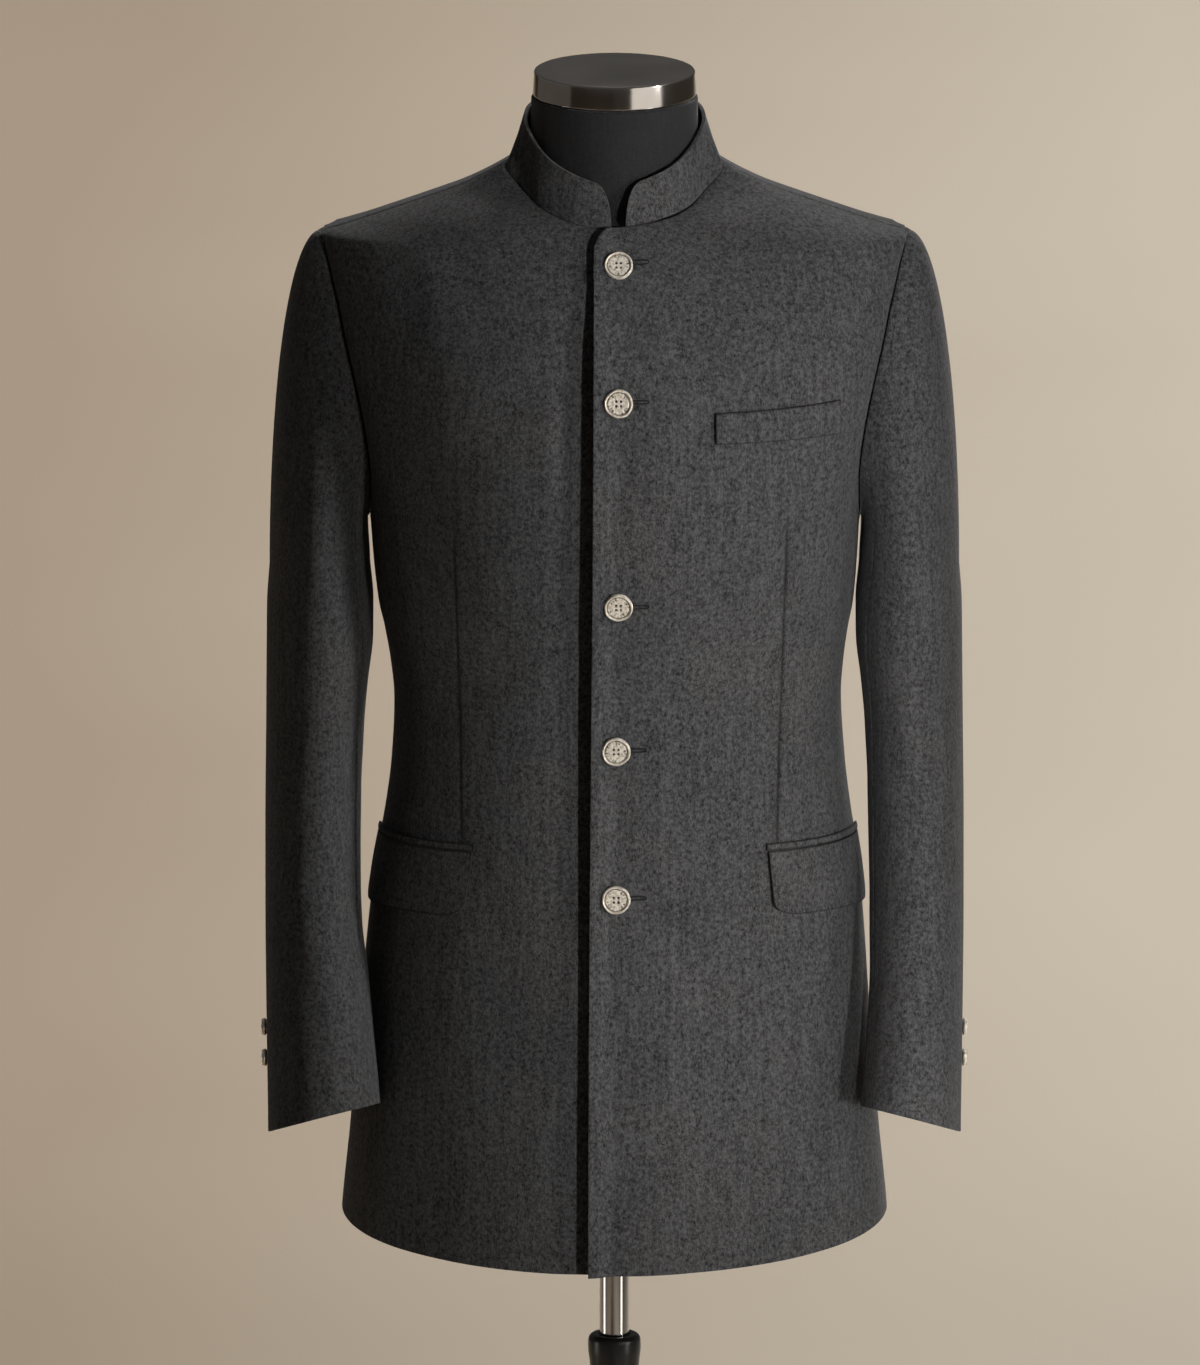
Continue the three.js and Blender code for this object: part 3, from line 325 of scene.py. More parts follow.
def body_point(side, angle, z, lift=0, creased=True):
    """A point on the outside of the body cloth, with its folds, moved out by lift."""
    angle, z, lift = np.broadcast_arrays(angle, z, lift)
    folds = BODY_FOLDS + BODY_CREASES if creased else BODY_FOLDS
    out = lift + fold_depth(folds, side, angle, z, BODY_FOLD_RADIUS)
    point = ring_point(angle, z) + normal_of(ring_point, angle, z, 0.01, 1) * out[..., None]
    if side < 0:
        waist = np.exp(-(((z - RIGHT_WAIST["z"]) / RIGHT_WAIST["run"]) ** 2))
        point[..., 0] *= 1 - RIGHT_WAIST["take"] * waist / BODY["half"](z)
    return point


def angle_at_x(x, z):
    power = BODY["power"](z)
    across = np.minimum(np.abs(x) / BODY["half"](z), 1)
    return np.sign(x) * np.arctan2(across, (1 - across**power) ** (1 / power))


def angle_at_y(y, z):
    power = BODY["power"](z)
    depth = np.where(y < 0, BODY["front"](z), BODY["back"](z))
    deep = np.minimum(np.abs(y) / depth, 1)
    return np.arctan2((1 - deep**power) ** (1 / power), np.where(y < 0, deep, -deep))


def armhole(phi):
    """The armhole's oval: 0 at the shoulder tip, 90 at the front, 180 underarm, 270 back."""
    s = np.sin(phi)
    z = mix(UNDERARM_Z, SHOULDER_TIP_Z, (1 + np.cos(phi)) / 2)
    bow = np.where(s > 0, ARMHOLE_FRONT * np.sin(phi - ARMHOLE_SKEW * s), ARMHOLE_BACK * s)
    return angle_at_y(ARMHOLE_SET_BACK * (1 - np.cos(phi)) / 2 - bow, z), z


SIDE_SEAM = float(armhole(np.array(math.pi))[0])


def mirrored(points, side):
    return points * np.array([side, 1, 1])


def crowded(count, ends=0.75):
    """Shares from 0 to 1 that lie closer together towards both ends."""
    t = np.linspace(0, 1, count + 1)
    return t - ends * np.sin(2 * np.pi * t) / (2 * np.pi)


def along(points, axis):
    """How far each point of a grid lies from the grid's first line, along the grid."""
    steps = np.linalg.norm(np.diff(points, axis=axis), axis=-1)
    first = np.zeros_like(np.take(steps, [0], axis=axis))
    return np.cumsum(np.concatenate([first, steps], axis=axis), axis=axis)


def seam_roll(distance, deep=0.9, wide=1.9):
    """How far cloth turns in towards a seam, by the distance from it."""
    return -deep * np.exp(-((distance / wide) ** 2))


def face_corners(grid):
    """The four corners of each face of a grid, one face after another."""
    corners = [grid[:-1, :-1], grid[:-1, 1:], grid[1:, 1:], grid[1:, :-1]]
    return np.stack(corners, axis=2)


def fill_mesh(mesh, points, faces):
    """Fills an empty mesh with points in metres and faces that shade smoothly."""
    mesh.from_pydata(points.tolist(), [], faces)
    mesh.polygons.foreach_set("use_smooth", np.ones(len(mesh.polygons), bool))


def mesh_of(name, points, u, v, closed=False):
    """A mesh of a grid of points in millimetres, with a UV map in metres of cloth. A closed
    grid joins its last column to its first."""
    rows, columns = points.shape[:2]
    index = np.arange(rows * columns).reshape(rows, columns)
    if closed:
        index = np.concatenate([index, index[:, :1]], axis=1)
        u = np.concatenate([u, 2 * u[:, -1:] - u[:, -2:-1]], axis=1)
        v = np.concatenate([v, v[:, :1]], axis=1)
    mesh = bpy.data.meshes.new(name)
    fill_mesh(mesh, points.reshape(-1, 3) * MM, face_corners(index).reshape(-1, 4).tolist())
    uv = face_corners(np.stack([u, v], axis=-1) * MM).astype(np.float32)
    mesh.uv_layers.new(name="cloth").data.foreach_set("uv", uv.ravel())
    return mesh


def add_piece(name, mesh, material, slot, *nodes):
    """Puts a mesh into the scene as a piece that stands for CAD nodes."""
    piece = bpy.data.objects.new(name, mesh)
    bpy.context.scene.collection.objects.link(piece)
    mesh.materials.append(material)
    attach(piece, "root")
    if nodes:
        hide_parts(*nodes)
    return piece


def facing(points, outward):
    """Whether the faces of a grid point outward, by the two grid steps at its middle."""
    row, column = points.shape[0] // 2, points.shape[1] // 2
    a = points[row, column + 1] - points[row, column]
    b = points[row + 1, column] - points[row, column]
    return np.dot(np.cross(a, b), outward) > 0


def cloth_piece(name, points, wall, outward, bevel=0.7, roll=None, u=None, seam_shade=None):
    """A cut piece of wool: a sheet of the given points, turned so that it faces outward, with
    its wall inside it and its edges rounded. roll moves its points along their normals, and
    seam_shade says by 0 to 1 where the cloth takes painted shade along a groove or an edge."""
    u, v = along(points, 1) if u is None else u, along(points, 0)
    if roll is not None:
        normals = np.cross(np.gradient(points, axis=1), np.gradient(points, axis=0))
        normals /= np.maximum(np.linalg.norm(normals, axis=-1, keepdims=True), 1e-9)
        sign = 1 if facing(points, outward) else -1
        points = points + sign * normals * roll[..., None]
    if not facing(points, outward):
        points, u, v = points[:, ::-1], u[:, ::-1], v[:, ::-1]
        seam_shade = seam_shade if seam_shade is None else seam_shade[:, ::-1]
    mesh = mesh_of(name, points, u, v)
    # The mask is kept as a point attribute, which the wool material reads for its painted shade
    if seam_shade is not None:
        shade = mesh.attributes.new("seam_shade", "FLOAT", "POINT")
        shade.data.foreach_set("value", seam_shade.ravel().astype(np.float32))
    piece = add_piece(f"{name}_cloth", mesh, WOOL, "wool", name)
    solid = piece.modifiers.new("wall", "SOLIDIFY")
    solid.thickness = wall * MM
    solid.offset = -1
    solid.use_even_offset = False
    edge = piece.modifiers.new("turned_edge", "BEVEL")
    edge.width = bevel * MM
    edge.segments = 3
    edge.limit_method = "ANGLE"
    edge.angle_limit = 60 * DEGREE
    return piece


# Materials
def node_group(name, inputs, outputs):
    """A shader node group with its sockets. Inputs are (name, kind, default)."""
    group = bpy.data.node_groups.new(name, "ShaderNodeTree")
    for socket_name, kind, default in inputs:
        socket = group.interface.new_socket(socket_name, in_out="INPUT", socket_type=kind)
        if default is not None:
            socket.default_value = default
    for socket_name, kind in outputs:
        group.interface.new_socket(socket_name, in_out="OUTPUT", socket_type=kind)
    return group, group.nodes.new("NodeGroupInput"), group.nodes.new("NodeGroupOutput")


class Graph:
    """A short way to add nodes to a tree: each call gives the node's output socket."""

    def __init__(self, tree):
        self.tree = tree

    def put(self, socket, value):
        if isinstance(value, bpy.types.NodeSocket):
            self.tree.links.new(value, socket)
        elif value is not None:
            socket.default_value = value

    def math(self, operation, a, b=None, c=None):
        node = self.tree.nodes.new("ShaderNodeMath")
        node.operation = operation
        for socket, value in zip(node.inputs, (a, b, c)):
            self.put(socket, value)
        return node.outputs[0]

    def noise(self, vector, scale, detail=2.0, roughness=0.5):
        node = self.tree.nodes.new("ShaderNodeTexNoise")
        self.put(node.inputs["Vector"], vector)
        self.put(node.inputs["Scale"], scale)
        self.put(node.inputs["Detail"], detail)
        self.put(node.inputs["Roughness"], roughness)
        return node.outputs["Fac"]

    def stretched(self, vector, scale):
        node = self.tree.nodes.new("ShaderNodeMapping")
        self.put(node.inputs["Vector"], vector)
        self.put(node.inputs["Scale"], scale)
        return node.outputs[0]

    def between(self, value, low, high, out_low=0.0, out_high=1.0):
        node = self.tree.nodes.new("ShaderNodeMapRange")
        for key, part in zip(range(5), (value, low, high, out_low, out_high)):
            self.put(node.inputs[key], part)
        return node.outputs[0]

    def blend(self, factor, a, b):
        node = self.tree.nodes.new("ShaderNodeMix")
        node.data_type = "RGBA"
        self.put(node.inputs[0], factor)
        self.put(node.inputs[6], a)
        self.put(node.inputs[7], b)
        return node.outputs[2]

    def bump(self, height, strength, distance):
        node = self.tree.nodes.new("ShaderNodeBump")
        self.put(node.inputs["Height"], height)
        self.put(node.inputs["Strength"], strength)
        self.put(node.inputs["Distance"], distance)
        return node.outputs["Normal"]

    def group(self, tree, **values):
        node = self.tree.nodes.new("ShaderNodeGroup")
        node.node_tree = tree
        for key, value in values.items():
            self.put(node.inputs[key], value)
        return node.outputs

    def attribute(self, name):
        node = self.tree.nodes.new("ShaderNodeAttribute")
        node.attribute_name = name
        return node.outputs["Fac"]

    def split(self, vector):
        node = self.tree.nodes.new("ShaderNodeSeparateXYZ")
        self.put(node.inputs[0], vector)
        return node.outputs


def new_material(name, roughness, metallic=0.0):
    """A material with a Principled BSDF, its graph helper and its coordinates."""
    material = bpy.data.materials.new(name)
    material.use_nodes = True
    g = Graph(material.node_tree)
    place = g.tree.nodes.new("ShaderNodeTexCoord").outputs
    dress(material, Roughness=roughness, Metallic=metallic)
    return material, g, place


def dress(material, **values):
    """Puts values or sockets into the material's Principled BSDF, by the names of its inputs
    with _ for a space, and gives the material."""
    for key, value in values.items():
        shader = material.node_tree.nodes["Principled BSDF"]
        Graph(material.node_tree).put(shader.inputs[key.replace("_", " ")], value)
    return material


def make_weave_group():
    """A plain weave of the given pitch: the height is the product of two crossed waves, and
    each thread has its own shade from a noise stretched along it."""
    group, given, result = node_group(
        "weave",
        [("Vector", "NodeSocketVector", None), ("Pitch", "NodeSocketFloat", 0.0006)],
        [("Height", "NodeSocketFloat"), ("Threads", "NodeSocketFloat")],
    )
    g = Graph(group)
    vector = given.outputs["Vector"]
    place = g.split(vector)
    turn = g.math("DIVIDE", 2 * math.pi, given.outputs["Pitch"])
    across = g.math("SINE", g.math("MULTIPLY", place[0], turn))
    up = g.math("SINE", g.math("MULTIPLY", place[1], turn))
    g.put(result.inputs["Height"], g.math("MULTIPLY_ADD", g.math("MULTIPLY", across, up), 0.5, 0.5))
    warp = g.noise(g.stretched(vector, (1, 0.035, 1)), 1500, 1.0)
    weft = g.math("MULTIPLY", g.noise(g.stretched(vector, (0.035, 1, 1)), 1500, 1.0), 0.38)
    g.put(result.inputs["Threads"], g.math("MULTIPLY_ADD", warp, 0.62, weft))
    return group


def make_heather_group():
    """Heathered wool: mottling of a few millimetres, short light and dark fibres that run up
    the cloth, faint long streaks, and rare warm flecks that gather in broad clouds."""
    group, given, result = node_group(
        "heather",
        [("Vector", "NodeSocketVector", None)],
        [("Mottle", "NodeSocketFloat"), ("Flecks", "NodeSocketFloat")],
    )
    g = Graph(group)
    vector = given.outputs["Vector"]
    grains = g.noise(vector, 330, 3.0, 0.7)
    fibres = g.noise(g.stretched(vector, (1, 1, 0.4)), 950, 2.0, 0.6)
    streaks = g.noise(g.stretched(vector, (1, 1, 0.06)), 260, 2.0)
    mottle = g.math("ADD", g.math("MULTIPLY", grains, 0.5), g.math("MULTIPLY", fibres, 0.36))
    mottle = g.math("MULTIPLY_ADD", streaks, 0.14, mottle)
    clouds = g.between(g.noise(vector, 11, 2.0), 0.46, 0.66)
    specks = g.between(g.noise(vector, 1150, 1.0), 0.62, 0.7)
    g.put(result.inputs["Mottle"], mottle)
    g.put(result.inputs["Flecks"], g.math("MULTIPLY", clouds, specks))
    return group


WEAVE = make_weave_group()
HEATHER = make_heather_group()


def make_wool():
    """Charcoal woollen suiting: dark ground, lighter heather, warm flecks, soft nap, painted shade."""
    material, g, place = new_material("wool_suiting", 0.88)
    weave = g.group(WEAVE, Vector=place["UV"], Pitch=0.0011)
    heather = g.group(HEATHER, Vector=place["Object"])
    tone = g.between(heather["Mottle"], 0.38, 0.62)
    ground = g.blend(tone, (0.011, 0.011, 0.0115, 1), (0.1, 0.1, 0.103, 1))
    # Painted shade: the ground turns near black along the dart line and the edges of the pocket pieces,
    # where shade falls in their grooves
    seam = g.math("MULTIPLY", g.attribute("seam_shade"), 0.85)
    ground = g.blend(seam, ground, (0.006, 0.006, 0.006, 1))
    fleck = g.math("MULTIPLY", heather["Flecks"], 0.6)
    color = g.blend(fleck, ground, (0.2, 0.165, 0.13, 1))
    height = g.math("MULTIPLY_ADD", weave["Height"], 0.35, heather["Mottle"])
    dress(material, Base_Color=color, Normal=g.bump(height, 0.55, 0.0006), Specular_IOR_Level=0.2)
    return dress(material, Sheen_Weight=0.1, Sheen_Roughness=0.5, Sheen_Tint=(0.75, 0.74, 0.75, 1))


def make_button_metal():
    """Antique silver plate: warm pale metal with brown tarnish in its hollows, and painted shade,
    in the same dark brown, in its thread holes.
    """
    material, g, place = new_material("antique_silver", 0.32, 0.35)
    spots = g.noise(place["Object"], 420, 3.0, 0.6)
    # The low attribute darkens the metal: tarnish in the groove and the relief's hollows, painted shade
    # in the thread holes
    tarnish_and_shade = g.math("MULTIPLY", g.attribute("low"), g.between(spots, 0.25, 0.6, 0.65, 1.0))
    worn = g.blend(g.between(spots, 0.42, 0.62), (0.97, 0.9, 0.78, 1), (0.7, 0.61, 0.5, 1))
    color = g.blend(tarnish_and_shade, worn, (0.05, 0.037, 0.026, 1))
    rough = g.between(spots, 0.3, 0.7, 0.24, 0.5)
    return dress(material, Base_Color=color, Roughness=rough, Normal=g.bump(spots, 0.25, 0.0004))


def make_thread():
    """Buttonhole twist, mottled by its strands: charcoal thread painted near black as the slit's shade.
    """
    material, g, place = new_material("buttonhole_twist", 0.7)
    strands = g.noise(place["Object"], 2600, 1.0)
    # Painted shade: the twist is darker than the cloth, so that the loop reads as the shaded slit
    color = g.blend(strands, (0.003, 0.003, 0.003, 1), (0.01, 0.01, 0.01, 1))
    normal = g.bump(strands, 0.4, 0.0003)
    return dress(material, Base_Color=color, Normal=normal, Sheen_Weight=0.2)


def make_jersey():
    """The form's black cover: a fine tight knit with a soft fuzz."""
    material, g, place = new_material("black_jersey", 0.8)
    weave = g.group(WEAVE, Vector=place["UV"], Pitch=0.0016)
    heather = g.group(HEATHER, Vector=place["Object"])
    tone = g.math("MULTIPLY", g.math("ADD", weave["Threads"], heather["Mottle"]), 0.5)
    tone = g.between(tone, 0.38, 0.62)
    color = g.blend(tone, (0.008, 0.008, 0.009, 1), (0.026, 0.025, 0.026, 1))
    dress(material, Base_Color=color, Normal=g.bump(weave["Height"], 0.5, 0.0004))
    return dress(material, Sheen_Weight=0.15, Sheen_Roughness=0.4)


def make_cap_metal():
    """Brushed steel: a satin top over a polished rim, in soft clouds, with a fine grain."""
    material, g, place = new_material("cap_steel", 0.3, 1.0)
    clouds = g.noise(place["Object"], 28, 3.0, 0.55)
    color = g.blend(clouds, (0.47, 0.44, 0.41, 1), (0.6, 0.57, 0.54, 1))
    is_top = g.between(g.split(place["Object"])[2], 1.4845, 1.4856)
    rough = g.math("MULTIPLY_ADD", is_top, 0.34, g.between(clouds, 0.3, 0.7, 0.1, 0.16))
    normal = g.bump(g.noise(place["Object"], 900, 2.0), 0.08, 0.0003)
    return dress(material, Base_Color=color, Roughness=rough, Normal=normal)


def make_chrome():
    """Polished chrome with faint smears."""
    material, g, place = new_material("pole_chrome", 0.06, 1.0)
    smears = g.noise(g.stretched(place["Object"], (1, 1, 0.2)), 90, 3.0)
    color = g.blend(smears, (0.8, 0.8, 0.8, 1), (0.7, 0.69, 0.68, 1))
    return dress(material, Base_Color=color, Roughness=g.between(smears, 0.35, 0.7, 0.04, 0.14))


def make_black_plastic():
    """A smooth black moulding with fine spark texture."""
    material, g, place = new_material("black_moulding", 0.3)
    grain = g.noise(place["Object"], 1400, 2.0)
    color = g.blend(grain, (0.006, 0.006, 0.007, 1), (0.016, 0.015, 0.015, 1))
    return dress(material, Base_Color=color, Normal=g.bump(grain, 0.12, 0.0003))


def make_black_paint():
    """Satin black powder coat: orange peel and a few dull scuffs."""
    material, g, place = new_material("black_powder_coat", 0.45)
    scuffs = g.noise(place["Object"], 22, 4.0, 0.6)
    color = g.blend(scuffs, (0.01, 0.01, 0.01, 1), (0.022, 0.021, 0.02, 1))
    rough = g.between(scuffs, 0.3, 0.7, 0.36, 0.55)
    normal = g.bump(g.noise(place["Object"], 520, 2.0), 0.15, 0.0004)
    return dress(material, Base_Color=color, Roughness=rough, Normal=normal)


# The body's cut pieces
def panel_rows(is_front, v):
    """Rows of a body panel, by v: 0 to 1 up the side seam, to 2 round the armhole and to 3
    along the shoulder seam. Gives the edge's angle and height and the centre's height."""
    hem = HEM_SIDE - HEM_FALL_PER_DEPTH * BODY["front"](HEM_SIDE) if is_front else HEM_SIDE
    chest, yoke = CENTRE_ROWS["chest"], CENTRE_ROWS["front_yoke" if is_front else "back_yoke"]
    low, hole = np.clip(v, 0, 1), np.clip(v - 1, 0, 1)
    turn = math.pi * hole
    hole_angle, hole_z = armhole(math.pi - turn if is_front else math.pi + turn)
    edge = np.where(v <= 1, SIDE_SEAM, np.where(v >= 2, math.pi / 2, hole_angle))
    edge_z = np.where(v <= 1, mix(HEM_SIDE, UNDERARM_Z, low), hole_z)
    return edge, edge_z, mix(mix(hem, chest, low), yoke, hole)


def row_height(v, is_front, edge, edge_z, centre_z, angle):
    """The height of a row at an angle: it goes from the centre's to the edge's with the way
    round, and near the top it turns into the neck seam."""
    def away(a):
        return 1 - np.abs(np.cos(a))

    past_side = (np.cos(angle) > 0) != is_front
    share = np.where(past_side, 1, away(angle) / away(np.where(v <= 1, math.pi / 2, edge)))
    level = mix(centre_z, edge_z, np.minimum(share, 1))
    return mix(level, neck_seam_z(np.abs(angle) / DEGREE), np.clip(v - 2, 0, 1))


def lap_lift(x, z):
    """How far the overlapping front stands off the body, by the distance from its edge."""
    up = smooth((z - HEM_SIDE) / (NECK_SEAM[0][1] - HEM_SIDE))
    edge = mix(LAP["edge_hem"], LAP["edge_top"], up)
    level = (WALL + LAP_GAP) * (1 - smooth((x - LAP["level_to"]) / LAP["blend"]))
    curl = mix(LAP["lift_hem"], LAP["lift_top"], up) * (1 - smooth((x + edge) / LAP["lift_width"]))
    return level + curl


def lap_dip(x, z):
    """How far the lower front sinks in beside the edge that laps over it, x outwards."""
    fade = 1 - smooth((z - LAP_DIP["fade_from"]) / LAP_DIP["fade_over"])
    deep = mix(LAP_DIP["low"], LAP_DIP["deep"], smooth((z - LAP_DIP["deep_from"]) / LAP_DIP["deep_over"]))
    return -deep * fade * (1 - smooth((x - LAP_DIP["level_to"]) / LAP_DIP["run"]))


def half_gap(angle, z, turn):
    step = 0.001 * turn
    width = np.linalg.norm(ring_point(angle + step, z) - ring_point(angle, z), axis=-1)
    return SEAM_GAP / 2 * step / width


def panel_levels():
    """The v of each row: close together at the hem and at the neck seam."""
    side = np.linspace(0, 1, 101) ** 1.06
    hole = 1 + np.linspace(0, 1, 61)[1:]
    t = np.linspace(0, 1, 31)[1:]
    return np.concatenate([side, hole, 2 + mix(t, 1 - (1 - t) ** 2, 0.6)])[:, None]


def dart_shares(side, v, start, end, centre_z):
    """Where the waist dart lies across each row, as a share of the row."""
    heights, places = np.array(DARTS[side]).T
    z = np.clip(centre_z, heights[0], heights[-1])
    share = (angle_at_x(np.interp(z, heights, places), z) - start) / (end - start)
    top_row = np.searchsorted(centre_z[:, 0], heights[-1])
    low_row = np.searchsorted(centre_z[:, 0], heights[0])
    share[top_row:] = share[top_row - 1]
    share[:low_row] = share[low_row]
    return share


def make_front(side):
    """A front: rows from the free edge at the centre to the side seam, armhole and shoulder
    seam. The left one laps over and its round top corner drops; columns crowd at the dart."""
    v = panel_levels()
    edge, edge_z, centre_z = panel_rows(True, v)
    over = side > 0
    up = smooth((centre_z - HEM_SIDE) / (NECK_SEAM[0][1] - HEM_SIDE))
    edge_x = -mix(LAP["edge_hem"], LAP["edge_top"], up) if over else -LAP["under"] + 0 * up
    start = angle_at_x(edge_x, centre_z)
    end = edge + half_gap(edge, row_height(v, True, edge, edge_z, centre_z, edge), -1)
    dart = dart_shares(side, v, start, end, centre_z)
    near = 4.5 / 300
    fine = np.linspace(-near, near, 11)
    before = (dart - near) * crowded(62)[:-1]
    after = mix(dart + near, 1, crowded(34)[1:])
    shares = np.concatenate([before, dart + fine, after], axis=1)
    angle = mix(start, end, shares)
    x = BODY["half"](centre_z) * np.sin(angle)
    z = row_height(v, True, edge, edge_z, centre_z, angle)
    left = np.clip(LAP["corner"] - (x - edge_x), 0, LAP["corner"])
    drop = LAP["corner"] - np.sqrt(LAP["corner"] ** 2 - left**2 * 0.92)
    z = z - drop * np.clip(v - 2, 0, 1) ** 3
    lift = lap_lift(x, z) if over else lap_dip(x, z)
    points = mirrored(body_point(side, angle, z, lift), side)
    across, rise = along(points, 1), along(points, 0)
    roll = seam_roll(across[:, -1:] - across) + seam_roll(rise[-1:] - rise, 0.35)
    # The dart line: a shallow groove, and painted shade along it that darkens the cloth
    heights, places = np.array(DARTS[side]).T
    from_dart = np.abs(points[..., 0] * side) - np.interp(points[..., 2], heights, places)
    ends = smooth((points[..., 2] - heights[0]) / 8) * smooth((heights[-1] - points[..., 2]) / 40)
    seam_shade = ends * np.exp(-((from_dart / DART_WIDTH) ** 2))
    roll = roll - DART_DEPTH * seam_shade
    name = "front_left" if over else "front_right"
    outward = (0.3 * side, -1, 0)
    return cloth_piece(name, points, WALL, outward, roll=roll, seam_shade=seam_shade)


def make_back(side):
    """A back: rows from the centre back seam to the side seam, armhole and shoulder seam."""
    v = panel_levels()
    edge, edge_z, centre_z = panel_rows(False, v)
    middle = np.full_like(edge, math.pi)
    seam_z = row_height(v, False, edge, edge_z, centre_z, middle)
    start = math.pi + half_gap(middle, seam_z, -1)
    end = edge + half_gap(edge, row_height(v, False, edge, edge_z, centre_z, edge), 1)
    angle = mix(start, end, crowded(96))
    z = row_height(v, False, edge, edge_z, centre_z, angle)
    points = mirrored(body_point(side, angle, z), side)
    across, rise = along(points, 1), along(points, 0)
    seams = seam_roll(across[:, -1:] - across) + seam_roll(across)
    roll = seams + seam_roll(rise[-1:] - rise, 0.35)
    name = "back_left" if side > 0 else "back_right"
    return cloth_piece(name, points, WALL, (0.3 * side, 1, 0), roll=roll)


# The stand collar
def collar_point(share, rise):
    """The collar's outside: from its foot on the neck seam straight up to its top edge, and
    lower towards its round front ends. share goes from -1, the right end, to 1, the left."""
    side = np.where(share < 0, -1, 1)
    end_x = np.where(side < 0, COLLAR_END_X[-1], COLLAR_END_X[1])
    end_angle = angle_at_x(end_x, NECK_SEAM[0][1])
    angle = mix(math.pi, end_angle, np.abs(share))
    z = neck_seam_z(angle / DEGREE)
    x = BODY["half"](z) * np.sin(angle)
    lift = np.where((side > 0) & (angle < math.pi / 2), lap_lift(x, z), 0)
    left = body_point(1, angle, z, lift, creased=False)
    right = body_point(-1, angle, z, lift, creased=False)
    foot = np.where((side > 0)[..., None], left, right)
    way = np.arctan2(foot[..., 0], -foot[..., 1])
    depth = np.where(way < math.pi / 2, COLLAR["front"], COLLAR["back"])
    top_z = collar_top_z(way / DEGREE)
    top = np.stack([COLLAR["half"] * np.sin(way), -depth * np.cos(way), top_z], axis=-1)
    from_end = np.clip((foot[..., 0] - end_x) / COLLAR["end_round"], 0, 1)
    full = np.where(way < math.pi / 2, from_end, 1)
    height = (1 - (1 - full) ** COLLAR["end_power"]) ** (1 / COLLAR["end_power"])
    rising = top - foot
    length = np.linalg.norm(rising, axis=-1, keepdims=True)
    point = foot + rising / length * 0.15
    point = point + rising * (rise * np.maximum(height, 0.12))[..., None]
    point[..., 0] *= side
    return point


def make_collar():
    """The stand collar, of one piece from front end to front end, on crowded columns."""
    share = np.sin(np.linspace(-0.5, 0.5, 241) * math.pi)[None, :]
    share, rise = np.broadcast_arrays(share, crowded(22, 0.6)[:, None])
    points = collar_point(share, rise)
    roll = seam_roll(along(points, 0), 0.5, 1.4)
    return cloth_piece("collar", points, COLLAR_WALL, (0, 1, 0), 0.9, roll)


# The sleeves
def arm_ring(side, phi, z):
    """A ring of the arm: an ellipse between its inner and outer side."""
    inner, outer = ARM["inner"](z) + side * ARM["spread"](z), ARM["outer"](z)
    x = (inner + outer) / 2 + (outer - inner) / 2 * np.cos(phi)
    y = ARM["middle"](z) - ARM["half_depth"](z) * np.sin(phi)
    return np.stack([x, y, z + 0 * x], axis=-1)


def sleeve_raw(side, phi, t):
    """The sleeve without folds. t from 0 to 1 is the head, a cubic Bezier from the armhole to
    the first ring of the arm, and on to 2 the rings down to the tilted cuff."""
    phi, t = np.broadcast_arrays(phi, t)
    level = mix(SLEEVE_HEAD["ring_z"], CUFF["z"], np.maximum(t - 1, 0))
    arm = arm_ring(side, phi, level)
    tilt = smooth((CUFF["from"] - level) / (CUFF["from"] - CUFF["z"]))
    forward = (ARM["middle"](level) - arm[..., 1]) * CUFF["forward"]
    inward = ((ARM["inner"](level) + ARM["outer"](level)) / 2 - arm[..., 0]) * CUFF["inward"]
    arm[..., 2] += tilt * (forward + inward)
    hole_angle, hole_z = armhole(phi)
    crown = (1 + np.cos(phi)) / 2
    rise = SLEEVE_HEAD["rise"] * crown
    out = np.stack([0.8 + 0.5 * np.cos(phi), -0.5 * np.sin(phi), rise], axis=-1)
    out /= np.linalg.norm(out, axis=-1, keepdims=True)
    reach = mix(SLEEVE_HEAD["reach_under"], SLEEVE_HEAD["reach_top"], crown)
    start = ring_point(hole_angle, hole_z) + out * 0.1
    end = arm_ring(side, phi, SLEEVE_HEAD["ring_z"] + 0 * phi)
    first = start + out * reach[..., None]
    second = end.copy()
    second[..., 2] += (start[..., 2] - end[..., 2]) * SLEEVE_HEAD["drop"]
    s = np.minimum(t, 1)[..., None]
    head = start * (1 - s) ** 3 + first * 3 * (1 - s) ** 2 * s
    head = head + second * 3 * (1 - s) * s * s + end * s**3
    return np.where((t > 1)[..., None], arm, head)


def sleeve_point(side, phi, t):
    """A point on the sleeve's outside, with its folds, which fade towards the armhole."""
    phi, t = np.broadcast_arrays(phi, t)
    point = sleeve_raw(side, phi, t)
    normal = normal_of(lambda a, b: sleeve_raw(side, a, b), phi, np.maximum(t, 0.01), 0.01, 0.009)
    turn = np.mod(phi, 2 * math.pi)
    folds = SLEEVE_FOLDS + SLEEVE_CREASES
    depth = fold_depth(folds, side, turn, point[..., 2], SLEEVE_FOLD_RADIUS)
    return point + normal * (depth * smooth((t - 0.15) / 0.3))[..., None]


